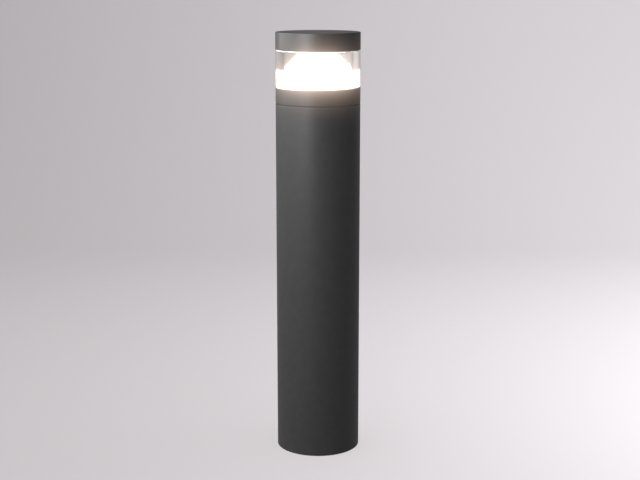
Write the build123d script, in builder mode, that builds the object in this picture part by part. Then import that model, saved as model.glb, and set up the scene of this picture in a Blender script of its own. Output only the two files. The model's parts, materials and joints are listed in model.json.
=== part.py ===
from build123d import *

import os
from math import cos, pi, radians, sin, tan

os.makedirs("parts", exist_ok=True)

# Bollard light: a round aluminium post with a lamp head on top. The head is a cap, a thick clear
# cylinder with a glowing bell inside it, and a collar that plugs into the post. Inside the post a
# tray on the base flange holds the junction box and the driver.
# Millimetres, +Z up, origin at the centre of the foot, -Y is the front, +Y the rear with the screws.

# ---------------------------------------------------------------- driving dimensions
post_diameter = 100.0
overall_height = 505.0
cap_height = 20.5
window_height = 44.0  # clear band between the cap and the collar
collar_height = 18.0
seam_gap = 1.0  # shadow line between the collar and the post
tube_wall = 3.0
edge_break = 0.6  # chamfer on the outer edges
slip_fit = 0.3  # radial clearance between pieces that slide apart
thread_gap = 0.05  # radial clearance drawn between a screw and its thread
rear_azimuths = (60, 120)  # where the security screws sit, from +X towards +Y

# foot
foot_plate = 6.0
foot_spigot_height = 32.0
foot_spigot_wall = 5.0
anchor_hole_diameter = 7.0
anchor_boss_radius = 8.0
boss_rise = 6.0  # height of the bosses and ribs above the plate
rib_thickness = 3.0
cable_hole_radius = 13.0
cable_bore_radius = 6.0
base_screw_diameter = 6.0
base_screw_height = 20.0

# gear tray and what it carries
sheet = 1.5
tray_half_width = 28.0
tray_face = 12.0  # Y of the tray's front face
box_width, box_depth, box_height = 50.0, 28.0, 60.0
box_bottom = 62.0
box_wall = 2.0
driver_width, driver_depth, driver_length = 40.0, 24.0, 120.0
driver_wall = 1.8
lid_thickness = 2.5
gland_thread_radius = 8.0
gland_hex_height = 5.0
gland_nut_height = 12.0

# connector between the tray and the head
connector_y = -12.0
connector_radius = 10.0
socket_rise = 12.0  # above the tray's shelf
socket_drop = 20.0  # below it
plug_length = 14.0
nose_length = 9.0

# collar
spigot_length = 22.5
spigot_wall = 3.5
deck_recess = 4.0
deck_thickness = 4.0
fin_height = 20.5
fin_thickness = 2.2
fin_count = 10
fin_start = 16.5  # inner ends of the fins, clear of the wire hole
lock_screw_diameter = 5.0
lock_screw_drop = 13.0  # below the top of the post
flat_depth = 0.8  # flats that the security screws press on

# lamp
bore_gap = 0.5  # between the bell and the clear cylinder
clear_wall = 9.7
rim_inset = 0.3  # the clear cylinder stands this far inside the post's outline
gasket = 1.0
bell_wall = 2.5
bell_skirt_height = 26.0
bell_neck_radius = 17.5
bell_flare = 0.5  # how far the bell's side is hollowed inwards and downwards
tie_diameter = 6.0
tie_length = 70.0
board_radius = 33.0
board_thickness = 1.6
pad_thickness = 0.5

# ---------------------------------------------------------------- levels and radii
post_radius = post_diameter / 2
bore_radius = post_radius - tube_wall
foot_radius = bore_radius - slip_fit
foot_inner = foot_radius - foot_spigot_wall
boss_top = foot_plate + boss_rise
anchor_circle = foot_inner - anchor_boss_radius - 1.7  # leaves a gap between boss and wall

cap_bottom = overall_height - cap_height
collar_top = cap_bottom - window_height
collar_bottom = collar_top - collar_height
post_top = collar_bottom - seam_gap
spigot_radius = bore_radius - slip_fit
spigot_inner = spigot_radius - spigot_wall
spigot_bottom = collar_bottom - spigot_length
deck_top = collar_top - deck_recess
deck_bottom = deck_top - deck_thickness
fin_bottom = deck_bottom - fin_height

plate_thickness = 2.0  # connector plate under the fins
plate_bottom = fin_bottom - plate_thickness
plug_bottom = plate_bottom - plug_length
socket_top = plug_bottom - 0.5
tray_top = socket_top - socket_rise
socket_bottom = tray_top - socket_drop
tray_foot = boss_top + 2.0

box_top = box_bottom + box_height
gland_reach = gland_hex_height + gland_nut_height
driver_middle = (box_top + gland_reach + socket_bottom) / 2
driver_bottom = driver_middle - driver_length / 2
driver_top = driver_middle + driver_length / 2

clear_outer = post_radius - rim_inset
clear_bore = clear_outer - clear_wall
bell_radius = clear_bore - bore_gap
bell_top = cap_bottom - gasket
bell_shoulder = deck_top + bell_skirt_height


# ---------------------------------------------------------------- helpers
def write(part, name):
    """Labels a finished piece and writes its STEP file."""
    part.label = name
    export_step(part, f"parts/{name}.step")
    print(f"{name:24s} {len(part.solids()):3d} solids {part.volume / 1000:9.3f} cm3")


def radial_plane(azimuth, radius, height):
    """Plane on the post's side whose normal points outwards."""
    outward = Vector(cos(radians(azimuth)), sin(radians(azimuth)), 0)
    along = (-sin(radians(azimuth)), cos(radians(azimuth)), 0)
    return Plane(origin=outward * radius + Vector(0, 0, height), x_dir=along, z_dir=outward)


def front_plane(x, y, z):
    """Plane whose normal points to the front, for screws driven towards the rear."""
    return Plane(origin=(x, y, z), x_dir=(1, 0, 0), z_dir=(0, -1, 0))


def polar(radius, azimuth, height=0.0):
    return Vector(radius * cos(radians(azimuth)), radius * sin(radians(azimuth)), height)


def flat_ring(outer_radius, inner_radius, thickness, bottom):
    """Washer, gasket or pad about the Z axis."""
    with BuildPart() as ring:
        with BuildSketch(Plane.XY.offset(bottom)):
            Circle(outer_radius)
            Circle(inner_radius, mode=Mode.SUBTRACT)
        extrude(amount=thickness)
    return ring.part


def grub_screw(diameter, length):
    """Socket set screw: its outer end at z = 0, its cup point at -length."""
    with BuildPart() as screw:
        Cylinder(diameter / 2, length, align=(Align.CENTER, Align.CENTER, Align.MAX))
        chamfer(screw.edges().group_by(Axis.Z)[0], diameter * 0.12)
        with BuildSketch():
            RegularPolygon(diameter / 4, 6, major_radius=False)
        extrude(amount=-length / 2, mode=Mode.SUBTRACT)
    return screw.part


def pan_screw(diameter, length):
    """Pan-head cross-recess screw: the head stands on z = 0, the shank hangs below."""
    head_radius, head_height = diameter * 0.95, diameter * 0.6
    with BuildPart() as screw:
        Cylinder(diameter / 2, length, align=(Align.CENTER, Align.CENTER, Align.MAX))
        Cylinder(head_radius, head_height, align=(Align.CENTER, Align.CENTER, Align.MIN))
        fillet(screw.edges().group_by(Axis.Z)[-1], head_height * 0.4)
        chamfer(screw.edges().group_by(Axis.Z)[0], diameter * 0.12)
        with BuildSketch(Plane.XY.offset(head_height)):
            Rectangle(head_radius, diameter * 0.16)
            Rectangle(diameter * 0.16, head_radius)
        extrude(amount=-head_height * 0.6, mode=Mode.SUBTRACT)
    return screw.part


def screws_at(screw, places):
    """The same screw at several planes or points, as one node of separate solids."""
    with BuildPart() as group:
        with Locations(*places):
            add(screw)
    return group.part


def lead(name, points, diameter):
    """Round cable through the points: straight runs joined by arcs as large as the runs allow."""
    corners = [Vector(p) for p in points]
    radii = []
    for before, here, after in zip(corners, corners[1:], corners[2:]):
        turn = (here - before).get_angle(after - here)
        run = min((here - before).length, (after - here).length)
        radii.append(0.45 * run / tan(radians(turn / 2)))
    with BuildPart() as cable:
        with BuildLine() as route:
            FilletPolyline(*points, radius=radii)
        with BuildSketch(Plane(origin=route.line @ 0, z_dir=route.line % 0)):
            Circle(diameter / 2)
        sweep()
    length = sum(edge.length for edge in route.edges())
    share = cable.part.volume / (pi * diameter**2 / 4 * length)
    print(f"{name}: {length:.1f} long, bends {[round(r, 1) for r in radii]}, share {share:.4f}")
    return cable.part


# ---------------------------------------------------------------- post
# extruded tube, with two threaded holes at the foot and two at the top, all at the rear
lock_screw_height = post_top - lock_screw_drop
with BuildPart() as post_tube:
    with BuildSketch():
        Circle(post_radius)
        Circle(bore_radius, mode=Mode.SUBTRACT)
    extrude(amount=post_top)
    rims = post_tube.edges().filter_by(GeomType.CIRCLE)
    chamfer(rims.filter_by(lambda e: e.radius > bore_radius + tube_wall / 2), edge_break)
    with Locations(*[radial_plane(a, post_radius, base_screw_height) for a in rear_azimuths]):
        Cylinder(base_screw_diameter / 2 + thread_gap, 3 * tube_wall, mode=Mode.SUBTRACT)
    with Locations(*[radial_plane(a, post_radius, lock_screw_height) for a in rear_azimuths]):
        Cylinder(lock_screw_diameter / 2 + thread_gap, 3 * tube_wall, mode=Mode.SUBTRACT)
write(post_tube.part, "post_tube")

screw_sink = 0.3  # the security screws end this far below the post's skin
screw_face = post_radius - screw_sink
base_screw_length = screw_face - (foot_radius - flat_depth + slip_fit)
base_screw = grub_screw(base_screw_diameter, base_screw_length)
write(
    screws_at(base_screw, [radial_plane(a, screw_face, base_screw_height) for a in rear_azimuths]),
    "base_lock_screws",
)
lock_screw_length = screw_face - (spigot_radius - flat_depth + slip_fit)
lock_screw = grub_screw(lock_screw_diameter, lock_screw_length)
write(
    screws_at(lock_screw, [radial_plane(a, screw_face, lock_screw_height) for a in rear_azimuths]),
    "head_lock_screws",
)

# ---------------------------------------------------------------- base flange
# cast plate with a spigot wall that the post slips over, three anchor holes and a cable hole
anchor_azimuths = (90, 210, 330)
rib_azimuths = (30, 150, 270)
drain_azimuths = (180, 240)
earth_point = polar(foot_inner - 11.7, 0)
earth_boss_radius = 5.5
tray_screw_diameter = 5.0
tray_screw_points = [polar(foot_inner - 10.8, a) for a in (51, 129)]
hub_radius = cable_hole_radius + 6.0
grommet_flange = cable_hole_radius + 3.0
grommet_recess = 2.0
with BuildPart() as base_flange:
    with BuildSketch():
        Circle(foot_radius)
    extrude(amount=foot_plate)
    with BuildSketch():
        Circle(foot_radius)
        Circle(foot_inner, mode=Mode.SUBTRACT)
    extrude(amount=foot_spigot_height)
    lead_in = base_flange.edges().filter_by(GeomType.CIRCLE).group_by(Axis.Z)[-1]
    chamfer(lead_in.sort_by(SortBy.RADIUS)[-1], 1.5)
    with BuildSketch(Plane.XY.offset(foot_plate)):
        Circle(hub_radius)
        with Locations(*[polar(anchor_circle, a) for a in anchor_azimuths]):
            Circle(anchor_boss_radius)
        with Locations(earth_point):
            Circle(earth_boss_radius)
    extrude(amount=boss_rise)
    with BuildSketch(Plane.XY.offset(foot_plate)):
        for azimuth in rib_azimuths:
            with Locations(Location(polar((hub_radius + foot_inner) / 2, azimuth), azimuth)):
                Rectangle(foot_inner - hub_radius + 2.0, rib_thickness)
    extrude(amount=boss_rise)
    with BuildSketch(Plane.XY.offset(foot_plate)):
        with Locations(*tray_screw_points):
            Circle(tray_screw_diameter)
    extrude(amount=tray_foot - foot_plate)
    # recess round the cable hole, so that the grommet seats on the plate and not on the hub
    with BuildSketch(Plane.XY.offset(foot_plate)):
        Circle(grommet_flange + slip_fit)
    extrude(amount=boss_rise, mode=Mode.SUBTRACT)
    with BuildSketch():
        Circle(grommet_flange + slip_fit)
    extrude(amount=grommet_recess, mode=Mode.SUBTRACT)
    with BuildSketch():
        Circle(cable_hole_radius)
        with Locations(*[polar(anchor_circle, a) for a in anchor_azimuths]):
            Circle(anchor_hole_diameter / 2)
        with Locations(*[polar(anchor_circle - 2.0, a) for a in drain_azimuths]):
            Circle(2.5)
    extrude(amount=boss_top, mode=Mode.SUBTRACT)
    with Locations(*[p + Vector(0, 0, tray_foot) for p in tray_screw_points]):
        Hole(tray_screw_diameter / 2 + thread_gap, depth=tray_foot - 3.0)
    with Locations(earth_point + Vector(0, 0, boss_top)):
        Hole(tray_screw_diameter / 2 + thread_gap, depth=boss_top - 3.0)
    # flats for the screws run up to the rim, so that the post lifts straight off
    flat_bottom = base_screw_height - 8.0
    flat_height = foot_spigot_height - flat_bottom
    for azimuth in rear_azimuths:
        with Locations(radial_plane(azimuth, foot_radius - flat_depth, flat_bottom)):
            Box(2 * base_screw_diameter, flat_height + 1.0, 2 * flat_depth,
                align=(Align.CENTER, Align.MIN, Align.MIN), mode=Mode.SUBTRACT)
write(base_flange.part, "base_flange")

# rubber grommet that the supply cable passes through
grommet_sleeve = 18.0  # top of its sleeve
with BuildPart() as cable_grommet:
    with BuildSketch(Plane.XZ):
        with BuildLine():
            Polyline(
                (cable_bore_radius, grommet_recess - 1.5),
                (grommet_flange, grommet_recess - 1.5),
                (grommet_flange, grommet_recess),
                (cable_hole_radius, grommet_recess),
                (cable_hole_radius, foot_plate),
                (grommet_flange, foot_plate),
                (grommet_flange - 1.0, foot_plate + 2.0),
                (cable_bore_radius + 4.0, foot_plate + 3.0),
                (cable_bore_radius + 2.0, grommet_sleeve),
                (cable_bore_radius, grommet_sleeve),
                close=True,
            )
        make_face()
    revolve(axis=Axis.Z)
write(cable_grommet.part, "cable_grommet")

# ---------------------------------------------------------------- gear tray
# one strip of sheet: two feet, a tall back with stiffening lips and a shelf for the connector
shelf_half_width = connector_radius + 5.0
shelf_front = connector_y - connector_radius - 3.0
bend_radius = sheet
lip_depth = 9.5
lip_bottom = foot_spigot_height + 12.0
foot_end = tray_screw_points[0].Y + 5.5
foot_pad = 6.5  # half the width of a foot
box_screw_points = [(-14.0, box_bottom + 45.0), (14.0, box_bottom + 45.0)]
driver_ear = 10.0  # reach of the driver's ears past its ends
driver_screw_heights = [driver_bottom - driver_ear / 2, driver_top + driver_ear / 2]
small_screw_diameter = 4.0
earth_lug_point = Vector(18.0, tray_face + sheet, box_bottom - 10.0)
with BuildPart() as gear_tray:
    with BuildSketch(Plane.YZ):
        with BuildLine():
            Polyline(
                (tray_face, tray_foot),
                (foot_end, tray_foot),
                (foot_end, tray_foot + sheet),
                (tray_face + sheet, tray_foot + sheet),
                (tray_face + sheet, tray_top),
                (shelf_front, tray_top),
                (shelf_front, tray_top - sheet),
                (tray_face, tray_top - sheet),
                close=True,
            )
        make_face()
    extrude(amount=tray_half_width, both=True)
    bends = gear_tray.edges().filter_by(Axis.X)
    outer_bends = [(tray_face, tray_foot), (tray_face + sheet, tray_top)]
    inner_bends = [(tray_face + sheet, tray_foot + sheet), (tray_face, tray_top - sheet)]
    for corners, radius in ((outer_bends, 2 * bend_radius), (inner_bends, bend_radius)):
        for y, z in corners:
            fillet(bends.sort_by_distance((0, y, z))[0], radius)
            bends = gear_tray.edges().filter_by(Axis.X)
    # trim the foot to two pads and the shelf to its width
    bend_relief = 4 * sheet
    foot_gap = tray_screw_points[0].X - foot_pad
    with Locations((0, tray_face - sheet, tray_foot)):
        Box(2 * foot_gap, foot_end, 2 * bend_relief,
            align=(Align.CENTER, Align.MIN, Align.CENTER), mode=Mode.SUBTRACT)
    pad_edge = tray_screw_points[0].X + foot_pad
    for side in (-1, 1):
        with Locations((side * (pad_edge + tray_half_width / 2), foot_end, tray_foot)):
            Box(tray_half_width, 2 * (foot_end - tray_face + sheet), 2 * bend_relief,
                mode=Mode.SUBTRACT)
        with Locations((side * (shelf_half_width + tray_half_width / 2), shelf_front, tray_top)):
            Box(tray_half_width, 2 * (tray_face - shelf_front), 2.2 * sheet,
                mode=Mode.SUBTRACT)
        # stiffening lips bent to the rear
        with Locations((side * tray_half_width, tray_face, lip_bottom)):
            Box(2 * sheet, lip_depth, tray_top - 10.0 - lip_bottom,
                align=(Align.CENTER, Align.MIN, Align.MIN))
        with Locations((side * (tray_half_width + sheet), tray_face, lip_bottom)):
            Box(2 * sheet, 3 * lip_depth, 2 * tray_top, mode=Mode.SUBTRACT)
    with Locations((0, connector_y, tray_top)):
        Cylinder(connector_radius + 0.2, 4 * sheet, mode=Mode.SUBTRACT)
    with Locations(*[(p.X, p.Y, tray_foot) for p in tray_screw_points]):
        Cylinder(tray_screw_diameter / 2 + 0.3, 4 * sheet, mode=Mode.SUBTRACT)
    holes = [front_plane(x, tray_face, z) for x, z in box_screw_points]
    holes += [front_plane(0, tray_face, z) for z in driver_screw_heights]
    holes += [front_plane(earth_lug_point.X, tray_face, earth_lug_point.Z)]
    with Locations(*holes):
        Cylinder(small_screw_diameter / 2 + thread_gap, 4 * sheet, mode=Mode.SUBTRACT)
    # pairs of slots for cable ties
    with BuildSketch(Plane.XZ.offset(-tray_face)):
        for height in (box_top + 8.0, driver_middle, driver_top + 18.0):
            with Locations((-tray_half_width + 4.5, height), (tray_half_width - 4.5, height)):
                SlotOverall(9.0, 2.5, rotation=90)
    extrude(amount=-4 * sheet, both=True, mode=Mode.SUBTRACT)
write(gear_tray.part, "gear_tray")

tray_screw = pan_screw(tray_screw_diameter, 10.0)
tray_screw_places = [(p.X, p.Y, tray_foot + sheet) for p in tray_screw_points]
write(screws_at(tray_screw, tray_screw_places), "tray_screws")

# ---------------------------------------------------------------- earth connection
lug_thickness = 1.0
earth_lead_diameter = 3.5
lug_axis = earth_lead_diameter / 2 + 0.9  # height of the lead's axis above the lug's face
lug_barrel = 5.0
lug_stop = 8.5  # where the lead ends inside the barrel


def ring_lug(barrel_length):
    """Crimp ring lug flat on z = 0, its barrel pointing along +Y."""
    with BuildPart() as lug:
        with BuildSketch():
            Circle(5.0)
            with Locations((0, 4.0)):
                Rectangle(4.0, 8.0)
            Circle(tray_screw_diameter / 2 + 0.2, mode=Mode.SUBTRACT)
        extrude(amount=lug_thickness)
        with BuildSketch(Plane.XZ.offset(-7.0)):
            with Locations((0, lug_axis)):
                Circle(earth_lead_diameter / 2 + 0.7)
        extrude(amount=-barrel_length)
        with BuildSketch(Plane.XZ.offset(-lug_stop)):
            with Locations((0, lug_axis)):
                Circle(earth_lead_diameter / 2)
        extrude(amount=-barrel_length, mode=Mode.SUBTRACT)
    return lug.part


tray_lug_plane = Plane(origin=earth_lug_point, x_dir=(1, 0, 0), z_dir=(0, 1, 0))
lug = ring_lug(lug_barrel)
with BuildPart() as earth_lugs:
    with Locations(Plane(origin=earth_point + Vector(0, 0, boss_top)), tray_lug_plane):
        add(lug)
write(earth_lugs.part, "earth_lugs")

with BuildPart() as earth_stud:
    with Locations(earth_point + Vector(0, 0, boss_top)):
        with Locations((0, 0, -6.0)):
            Cylinder(tray_screw_diameter / 2, 16.0, align=(Align.CENTER, Align.CENTER, Align.MIN))
    with BuildSketch(Plane.XY.offset(boss_top + lug_thickness + 1.0)):
        with Locations(earth_point):
            RegularPolygon(4.0, 6, major_radius=False)
    extrude(amount=4.0)
    with BuildSketch(Plane.XY.offset(boss_top + lug_thickness)):
        with Locations(earth_point):
            Circle(5.0)
    extrude(amount=1.0)
write(earth_stud.part, "earth_stud")

tray_earth_screw = pan_screw(small_screw_diameter, 7.0)
tray_earth_plane = Plane(
    origin=earth_lug_point + Vector(0, lug_thickness, 0), x_dir=(1, 0, 0), z_dir=(0, 1, 0)
)
write(screws_at(tray_earth_screw, [tray_earth_plane]), "earth_screw")

lug_exit = earth_point + Vector(0, lug_stop, boss_top + lug_axis)
lug_entry = earth_lug_point + Vector(0, lug_axis, -lug_stop)
earth_route = [
    lug_exit,
    lug_exit + Vector(0, 7.0, 0),
    lug_exit + Vector(-0.6, 12.5, 5.0),
    lug_exit + Vector(-4.5, 12.5, 12.5),
    lug_entry + Vector(1.8, 3.2, -13.5),
    lug_entry + Vector(0, 0, -7.5),
    lug_entry,
]
write(lead("earth_lead", earth_route, earth_lead_diameter), "earth_lead")

# ---------------------------------------------------------------- junction box
box_front = tray_face - box_depth
box_middle = box_bottom + box_height / 2
pillar_radius = 3.6
lid_screw_diameter = 3.0
lid_screw_length = 12.0
gland_y = -3.0
supply_gland_x, lead_gland_x = 0.0, 0.0
pillar_points = [
    (sx * (box_width / 2 - pillar_radius - 0.6), box_middle + sz * (box_height / 2 - pillar_radius - 0.6))
    for sx in (-1, 1)
    for sz in (-1, 1)
]
with BuildPart() as junction_box:
    with Locations((0, tray_face, box_middle)):
        Box(box_width, box_depth, box_height, align=(Align.CENTER, Align.MAX, Align.CENTER))
    fillet(junction_box.edges().filter_by(Axis.Y), 4.0)
    with Locations((0, tray_face - box_wall, box_middle)):
        Box(box_width - 2 * box_wall, box_depth, box_height - 2 * box_wall,
            align=(Align.CENTER, Align.MAX, Align.CENTER), mode=Mode.SUBTRACT)
    with Locations(*[front_plane(x, tray_face - box_wall, z) for x, z in pillar_points]):
        Cylinder(pillar_radius, box_depth - box_wall,
                 align=(Align.CENTER, Align.CENTER, Align.MIN))
    with Locations(*[front_plane(x, box_front, z) for x, z in pillar_points]):
        Hole(lid_screw_diameter / 2 + thread_gap, depth=lid_screw_length)
    with Locations(*[front_plane(x, tray_face, z) for x, z in box_screw_points]):
        Cylinder(small_screw_diameter / 2 + thread_gap, 4 * box_wall, mode=Mode.SUBTRACT)
    with Locations((supply_gland_x, gland_y, box_bottom), (lead_gland_x, gland_y, box_top)):
        Cylinder(gland_thread_radius + thread_gap, 4 * box_wall, mode=Mode.SUBTRACT)
write(junction_box.part, "junction_box")

seal_thickness = 1.0
with BuildPart() as box_seal:
    with BuildSketch(Plane.XZ.offset(-box_front)):
        with Locations((0, box_middle)):
            RectangleRounded(box_width - 0.6, box_height - 0.6, 3.7)
            RectangleRounded(box_width - 2 * box_wall, box_height - 2 * box_wall, 2.0,
                             mode=Mode.SUBTRACT)
        with Locations(*pillar_points):
            Circle(lid_screw_diameter / 2 + 1.0, mode=Mode.SUBTRACT)
    extrude(amount=seal_thickness)
write(box_seal.part, "junction_box_seal")

box_lid_back = box_front - seal_thickness
with BuildPart() as box_lid:
    with BuildSketch(Plane.XZ.offset(-box_lid_back)):
        with Locations((0, box_middle)):
            RectangleRounded(box_width, box_height, 4.0)
    extrude(amount=lid_thickness)
    chamfer(box_lid.faces().sort_by(Axis.Y)[0].edges(), 0.8)
    with Locations(*[front_plane(x, box_lid_back - lid_thickness, z) for x, z in pillar_points]):
        Hole(lid_screw_diameter / 2 + 0.2)
write(box_lid.part, "junction_box_lid")

lid_screw = pan_screw(lid_screw_diameter, lid_screw_length)
lid_screw_face = box_lid_back - lid_thickness
lid_screw_places = [front_plane(x, lid_screw_face, z) for x, z in pillar_points]
write(screws_at(lid_screw, lid_screw_places), "junction_box_lid_screws")

box_screw = pan_screw(small_screw_diameter, 5.0)
box_screw_places = [front_plane(x, tray_face - box_wall, z) for x, z in box_screw_points]
write(screws_at(box_screw, box_screw_places), "junction_box_screws")

# terminal block on the box's back wall, three ways, brass clamps inside it
block_width, block_depth, block_height = 30.0, 13.0, 18.0
block_bottom = box_bottom + 13.0
block_back = tray_face - box_wall
way_pitch = 10.0
way_xs = [-way_pitch, 0.0, way_pitch]
wire_y = block_back - 8.0
with BuildPart() as terminal_block:
    with Locations((0, block_back, block_bottom)):
        Box(block_width, block_depth, block_height, align=(Align.CENTER, Align.MAX, Align.MIN))
    chamfer(terminal_block.faces().sort_by(Axis.Y)[0].edges(), 0.8)
    with Locations(*[(x, wire_y, block_bottom + block_height / 2) for x in way_xs]):
        Box(5.0, 5.0, 12.0, mode=Mode.SUBTRACT)
        Cylinder(1.8, block_height + 2.0, mode=Mode.SUBTRACT)
    screw_mouths = [
        front_plane(x, block_back - block_depth, block_bottom + z) for x in way_xs for z in (5.5, 12.5)
    ]
    with Locations(*screw_mouths):
        Hole(1.6, depth=4.0)
write(terminal_block.part, "terminal_block")

with BuildPart() as terminal_clamps:
    with Locations(*[(x, wire_y, block_bottom + block_height / 2) for x in way_xs]):
        Box(4.6, 4.6, 11.6)
        Cylinder(1.5, 12.0, mode=Mode.SUBTRACT)
write(terminal_clamps.part, "terminal_clamps")


# ---------------------------------------------------------------- cable glands
mains_lead_diameter = 6.0
supply_cable_radius = 5.0
gland_bore = 5.6
supply_gland_plane = Plane(
    origin=(supply_gland_x, gland_y, box_bottom), x_dir=(1, 0, 0), z_dir=(0, 0, -1)
)
lead_gland_plane = Plane(origin=(lead_gland_x, gland_y, box_top), x_dir=(1, 0, 0), z_dir=(0, 0, 1))
gland_planes = [supply_gland_plane, lead_gland_plane]

with BuildPart() as gland_body:
    Cylinder(gland_thread_radius, box_wall + 4.0, align=(Align.CENTER, Align.CENTER, Align.MAX))
    with BuildSketch():
        RegularPolygon(10.0, 6, major_radius=False)
    extrude(amount=gland_hex_height)
    Cylinder(7.5, gland_hex_height + 6.0, align=(Align.CENTER, Align.CENTER, Align.MIN))
    Cylinder(gland_bore, 40.0, mode=Mode.SUBTRACT)
write(screws_at(gland_body.part, gland_planes), "gland_bodies")

nut_start = gland_hex_height + 0.2
with BuildPart() as gland_nut:
    with BuildSketch(Plane.XY.offset(nut_start)):
        RegularPolygon(9.6, 6, major_radius=False)
    extrude(amount=7.0)
    with Locations((0, 0, nut_start + 7.0)):
        Cone(9.4, 7.0, gland_nut_height - 7.2, align=(Align.CENTER, Align.CENTER, Align.MIN))
    with Locations((0, 0, nut_start)):
        Cylinder(7.5 + thread_gap, 7.5, align=(Align.CENTER, Align.CENTER, Align.MIN),
                 mode=Mode.SUBTRACT)
    Cylinder(gland_bore, 60.0, mode=Mode.SUBTRACT)
write(screws_at(gland_nut.part, gland_planes), "gland_nuts")

with BuildPart() as gland_seals:
    for plane, bore in ((supply_gland_plane, supply_cable_radius), (lead_gland_plane, mains_lead_diameter / 2)):
        with Locations(plane):
            with Locations((0, 0, gland_hex_height)):
                Cylinder(gland_bore, 9.0, align=(Align.CENTER, Align.CENTER, Align.MIN))
                Cylinder(bore, 30.0, mode=Mode.SUBTRACT)
write(gland_seals.part, "gland_seals")

# nuts inside the box that hold the glands
with BuildPart() as gland_locknut:
    with BuildSketch(Plane.XY.offset(-box_wall)):
        RegularPolygon(10.0, 6, major_radius=False)
        Circle(gland_thread_radius + thread_gap, mode=Mode.SUBTRACT)
    extrude(amount=-3.0)
write(screws_at(gland_locknut.part, gland_planes), "gland_locknuts")

# ---------------------------------------------------------------- driver
driver_back = tray_face
driver_front = driver_back - driver_depth
case_depth = driver_depth - lid_thickness
terminal_width, terminal_height, terminal_length = 20.0, 12.0, 14.0
driver_terminal_x = -6.0
driver_board_y = driver_back - driver_wall - 3.0
driver_board_face = driver_board_y - board_thickness / 2
driver_axis_y = driver_board_face - terminal_height / 2
with BuildPart() as driver_case:
    with Locations((0, driver_back, driver_middle)):
        Box(driver_width, case_depth, driver_length, align=(Align.CENTER, Align.MAX, Align.CENTER))
    fillet(driver_case.edges().filter_by(Axis.Y), 3.0)
    with Locations((0, driver_back - driver_wall, driver_middle)):
        Box(driver_width - 2 * driver_wall, case_depth, driver_length - 2 * driver_wall,
            align=(Align.CENTER, Align.MAX, Align.CENTER), mode=Mode.SUBTRACT)
    with Locations(*[(0, driver_back, z) for z in (driver_bottom, driver_top)]):
        Box(14.0, 2.5, 2 * driver_ear, align=(Align.CENTER, Align.MAX, Align.CENTER))
    with Locations(*[front_plane(0, driver_back, z) for z in driver_screw_heights]):
        Cylinder(small_screw_diameter / 2 + 0.2, 8.0, mode=Mode.SUBTRACT)
    with Locations((driver_terminal_x, driver_axis_y, driver_bottom),
                   (driver_terminal_x, driver_axis_y, driver_top)):
        Box(terminal_width, terminal_height, 4 * driver_wall, mode=Mode.SUBTRACT)
write(driver_case.part, "driver_case")

with BuildPart() as driver_lid:
    with BuildSketch(Plane.XZ.offset(-(driver_front + lid_thickness))):
        with Locations((0, driver_middle)):
            RectangleRounded(driver_width, driver_length, 3.0)
    extrude(amount=lid_thickness)
    chamfer(driver_lid.faces().sort_by(Axis.Y)[0].edges(), 0.8)
    with BuildSketch(Plane.XZ.offset(-driver_front)):
        with Locations((0, driver_middle)):
            RectangleRounded(driver_width - 10.0, driver_length - 30.0, 2.0)
    extrude(amount=-0.6, mode=Mode.SUBTRACT)
write(driver_lid.part, "driver_lid")

with BuildPart() as driver_terminals:
    for z, inward in ((driver_bottom, 1), (driver_top, -1)):
        with Locations((driver_terminal_x, driver_axis_y, z + inward * terminal_length / 2)):
            Box(terminal_width - 0.2, terminal_height - 0.2, terminal_length)
        with Locations((driver_terminal_x, driver_axis_y, z)):
            Cylinder(mains_lead_diameter / 2 + 0.1, 12.0, mode=Mode.SUBTRACT)
write(driver_terminals.part, "driver_terminals")

post_xs = (-driver_width / 2 + 5.0, driver_width / 2 - 5.0)
post_zs = (driver_middle - driver_length / 2 + 15.0, driver_middle + driver_length / 2 - 15.0)
with BuildPart() as driver_board:
    with Locations((0, driver_board_y, driver_middle)):
        Box(driver_width - 2 * driver_wall - 1.0, board_thickness,
            driver_length - 2 * driver_wall - 1.0)
    with Locations(*[front_plane(x, driver_back - driver_wall, z) for x in post_xs for z in post_zs]):
        Cylinder(2.0, driver_back - driver_wall - driver_board_y,
                 align=(Align.CENTER, Align.CENTER, Align.MIN))
write(driver_board.part, "driver_board")

transformer_width, transformer_length = 20.0, 24.0
with BuildPart() as driver_components:
    with Locations((2.0, driver_board_face, driver_middle)):
        Box(transformer_width, 11.0, transformer_length, align=(Align.CENTER, Align.MAX, Align.CENTER))
    for x, z in ((-10.0, -28.0), (8.0, -28.0), (8.0, 28.0)):
        with Locations(front_plane(x, driver_board_face, driver_middle + z)):
            Cylinder(5.0, 10.0, align=(Align.CENTER, Align.CENTER, Align.MIN))
    with Locations((-10.0, driver_board_face, driver_middle + 24.0)):
        Box(6.0, 9.0, 14.0, align=(Align.CENTER, Align.MAX, Align.CENTER))
write(driver_components.part, "driver_components")

driver_screw = pan_screw(small_screw_diameter, 6.0)
driver_screw_places = [front_plane(0, driver_back - 2.5, z) for z in driver_screw_heights]
write(screws_at(driver_screw, driver_screw_places), "driver_screws")

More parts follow.
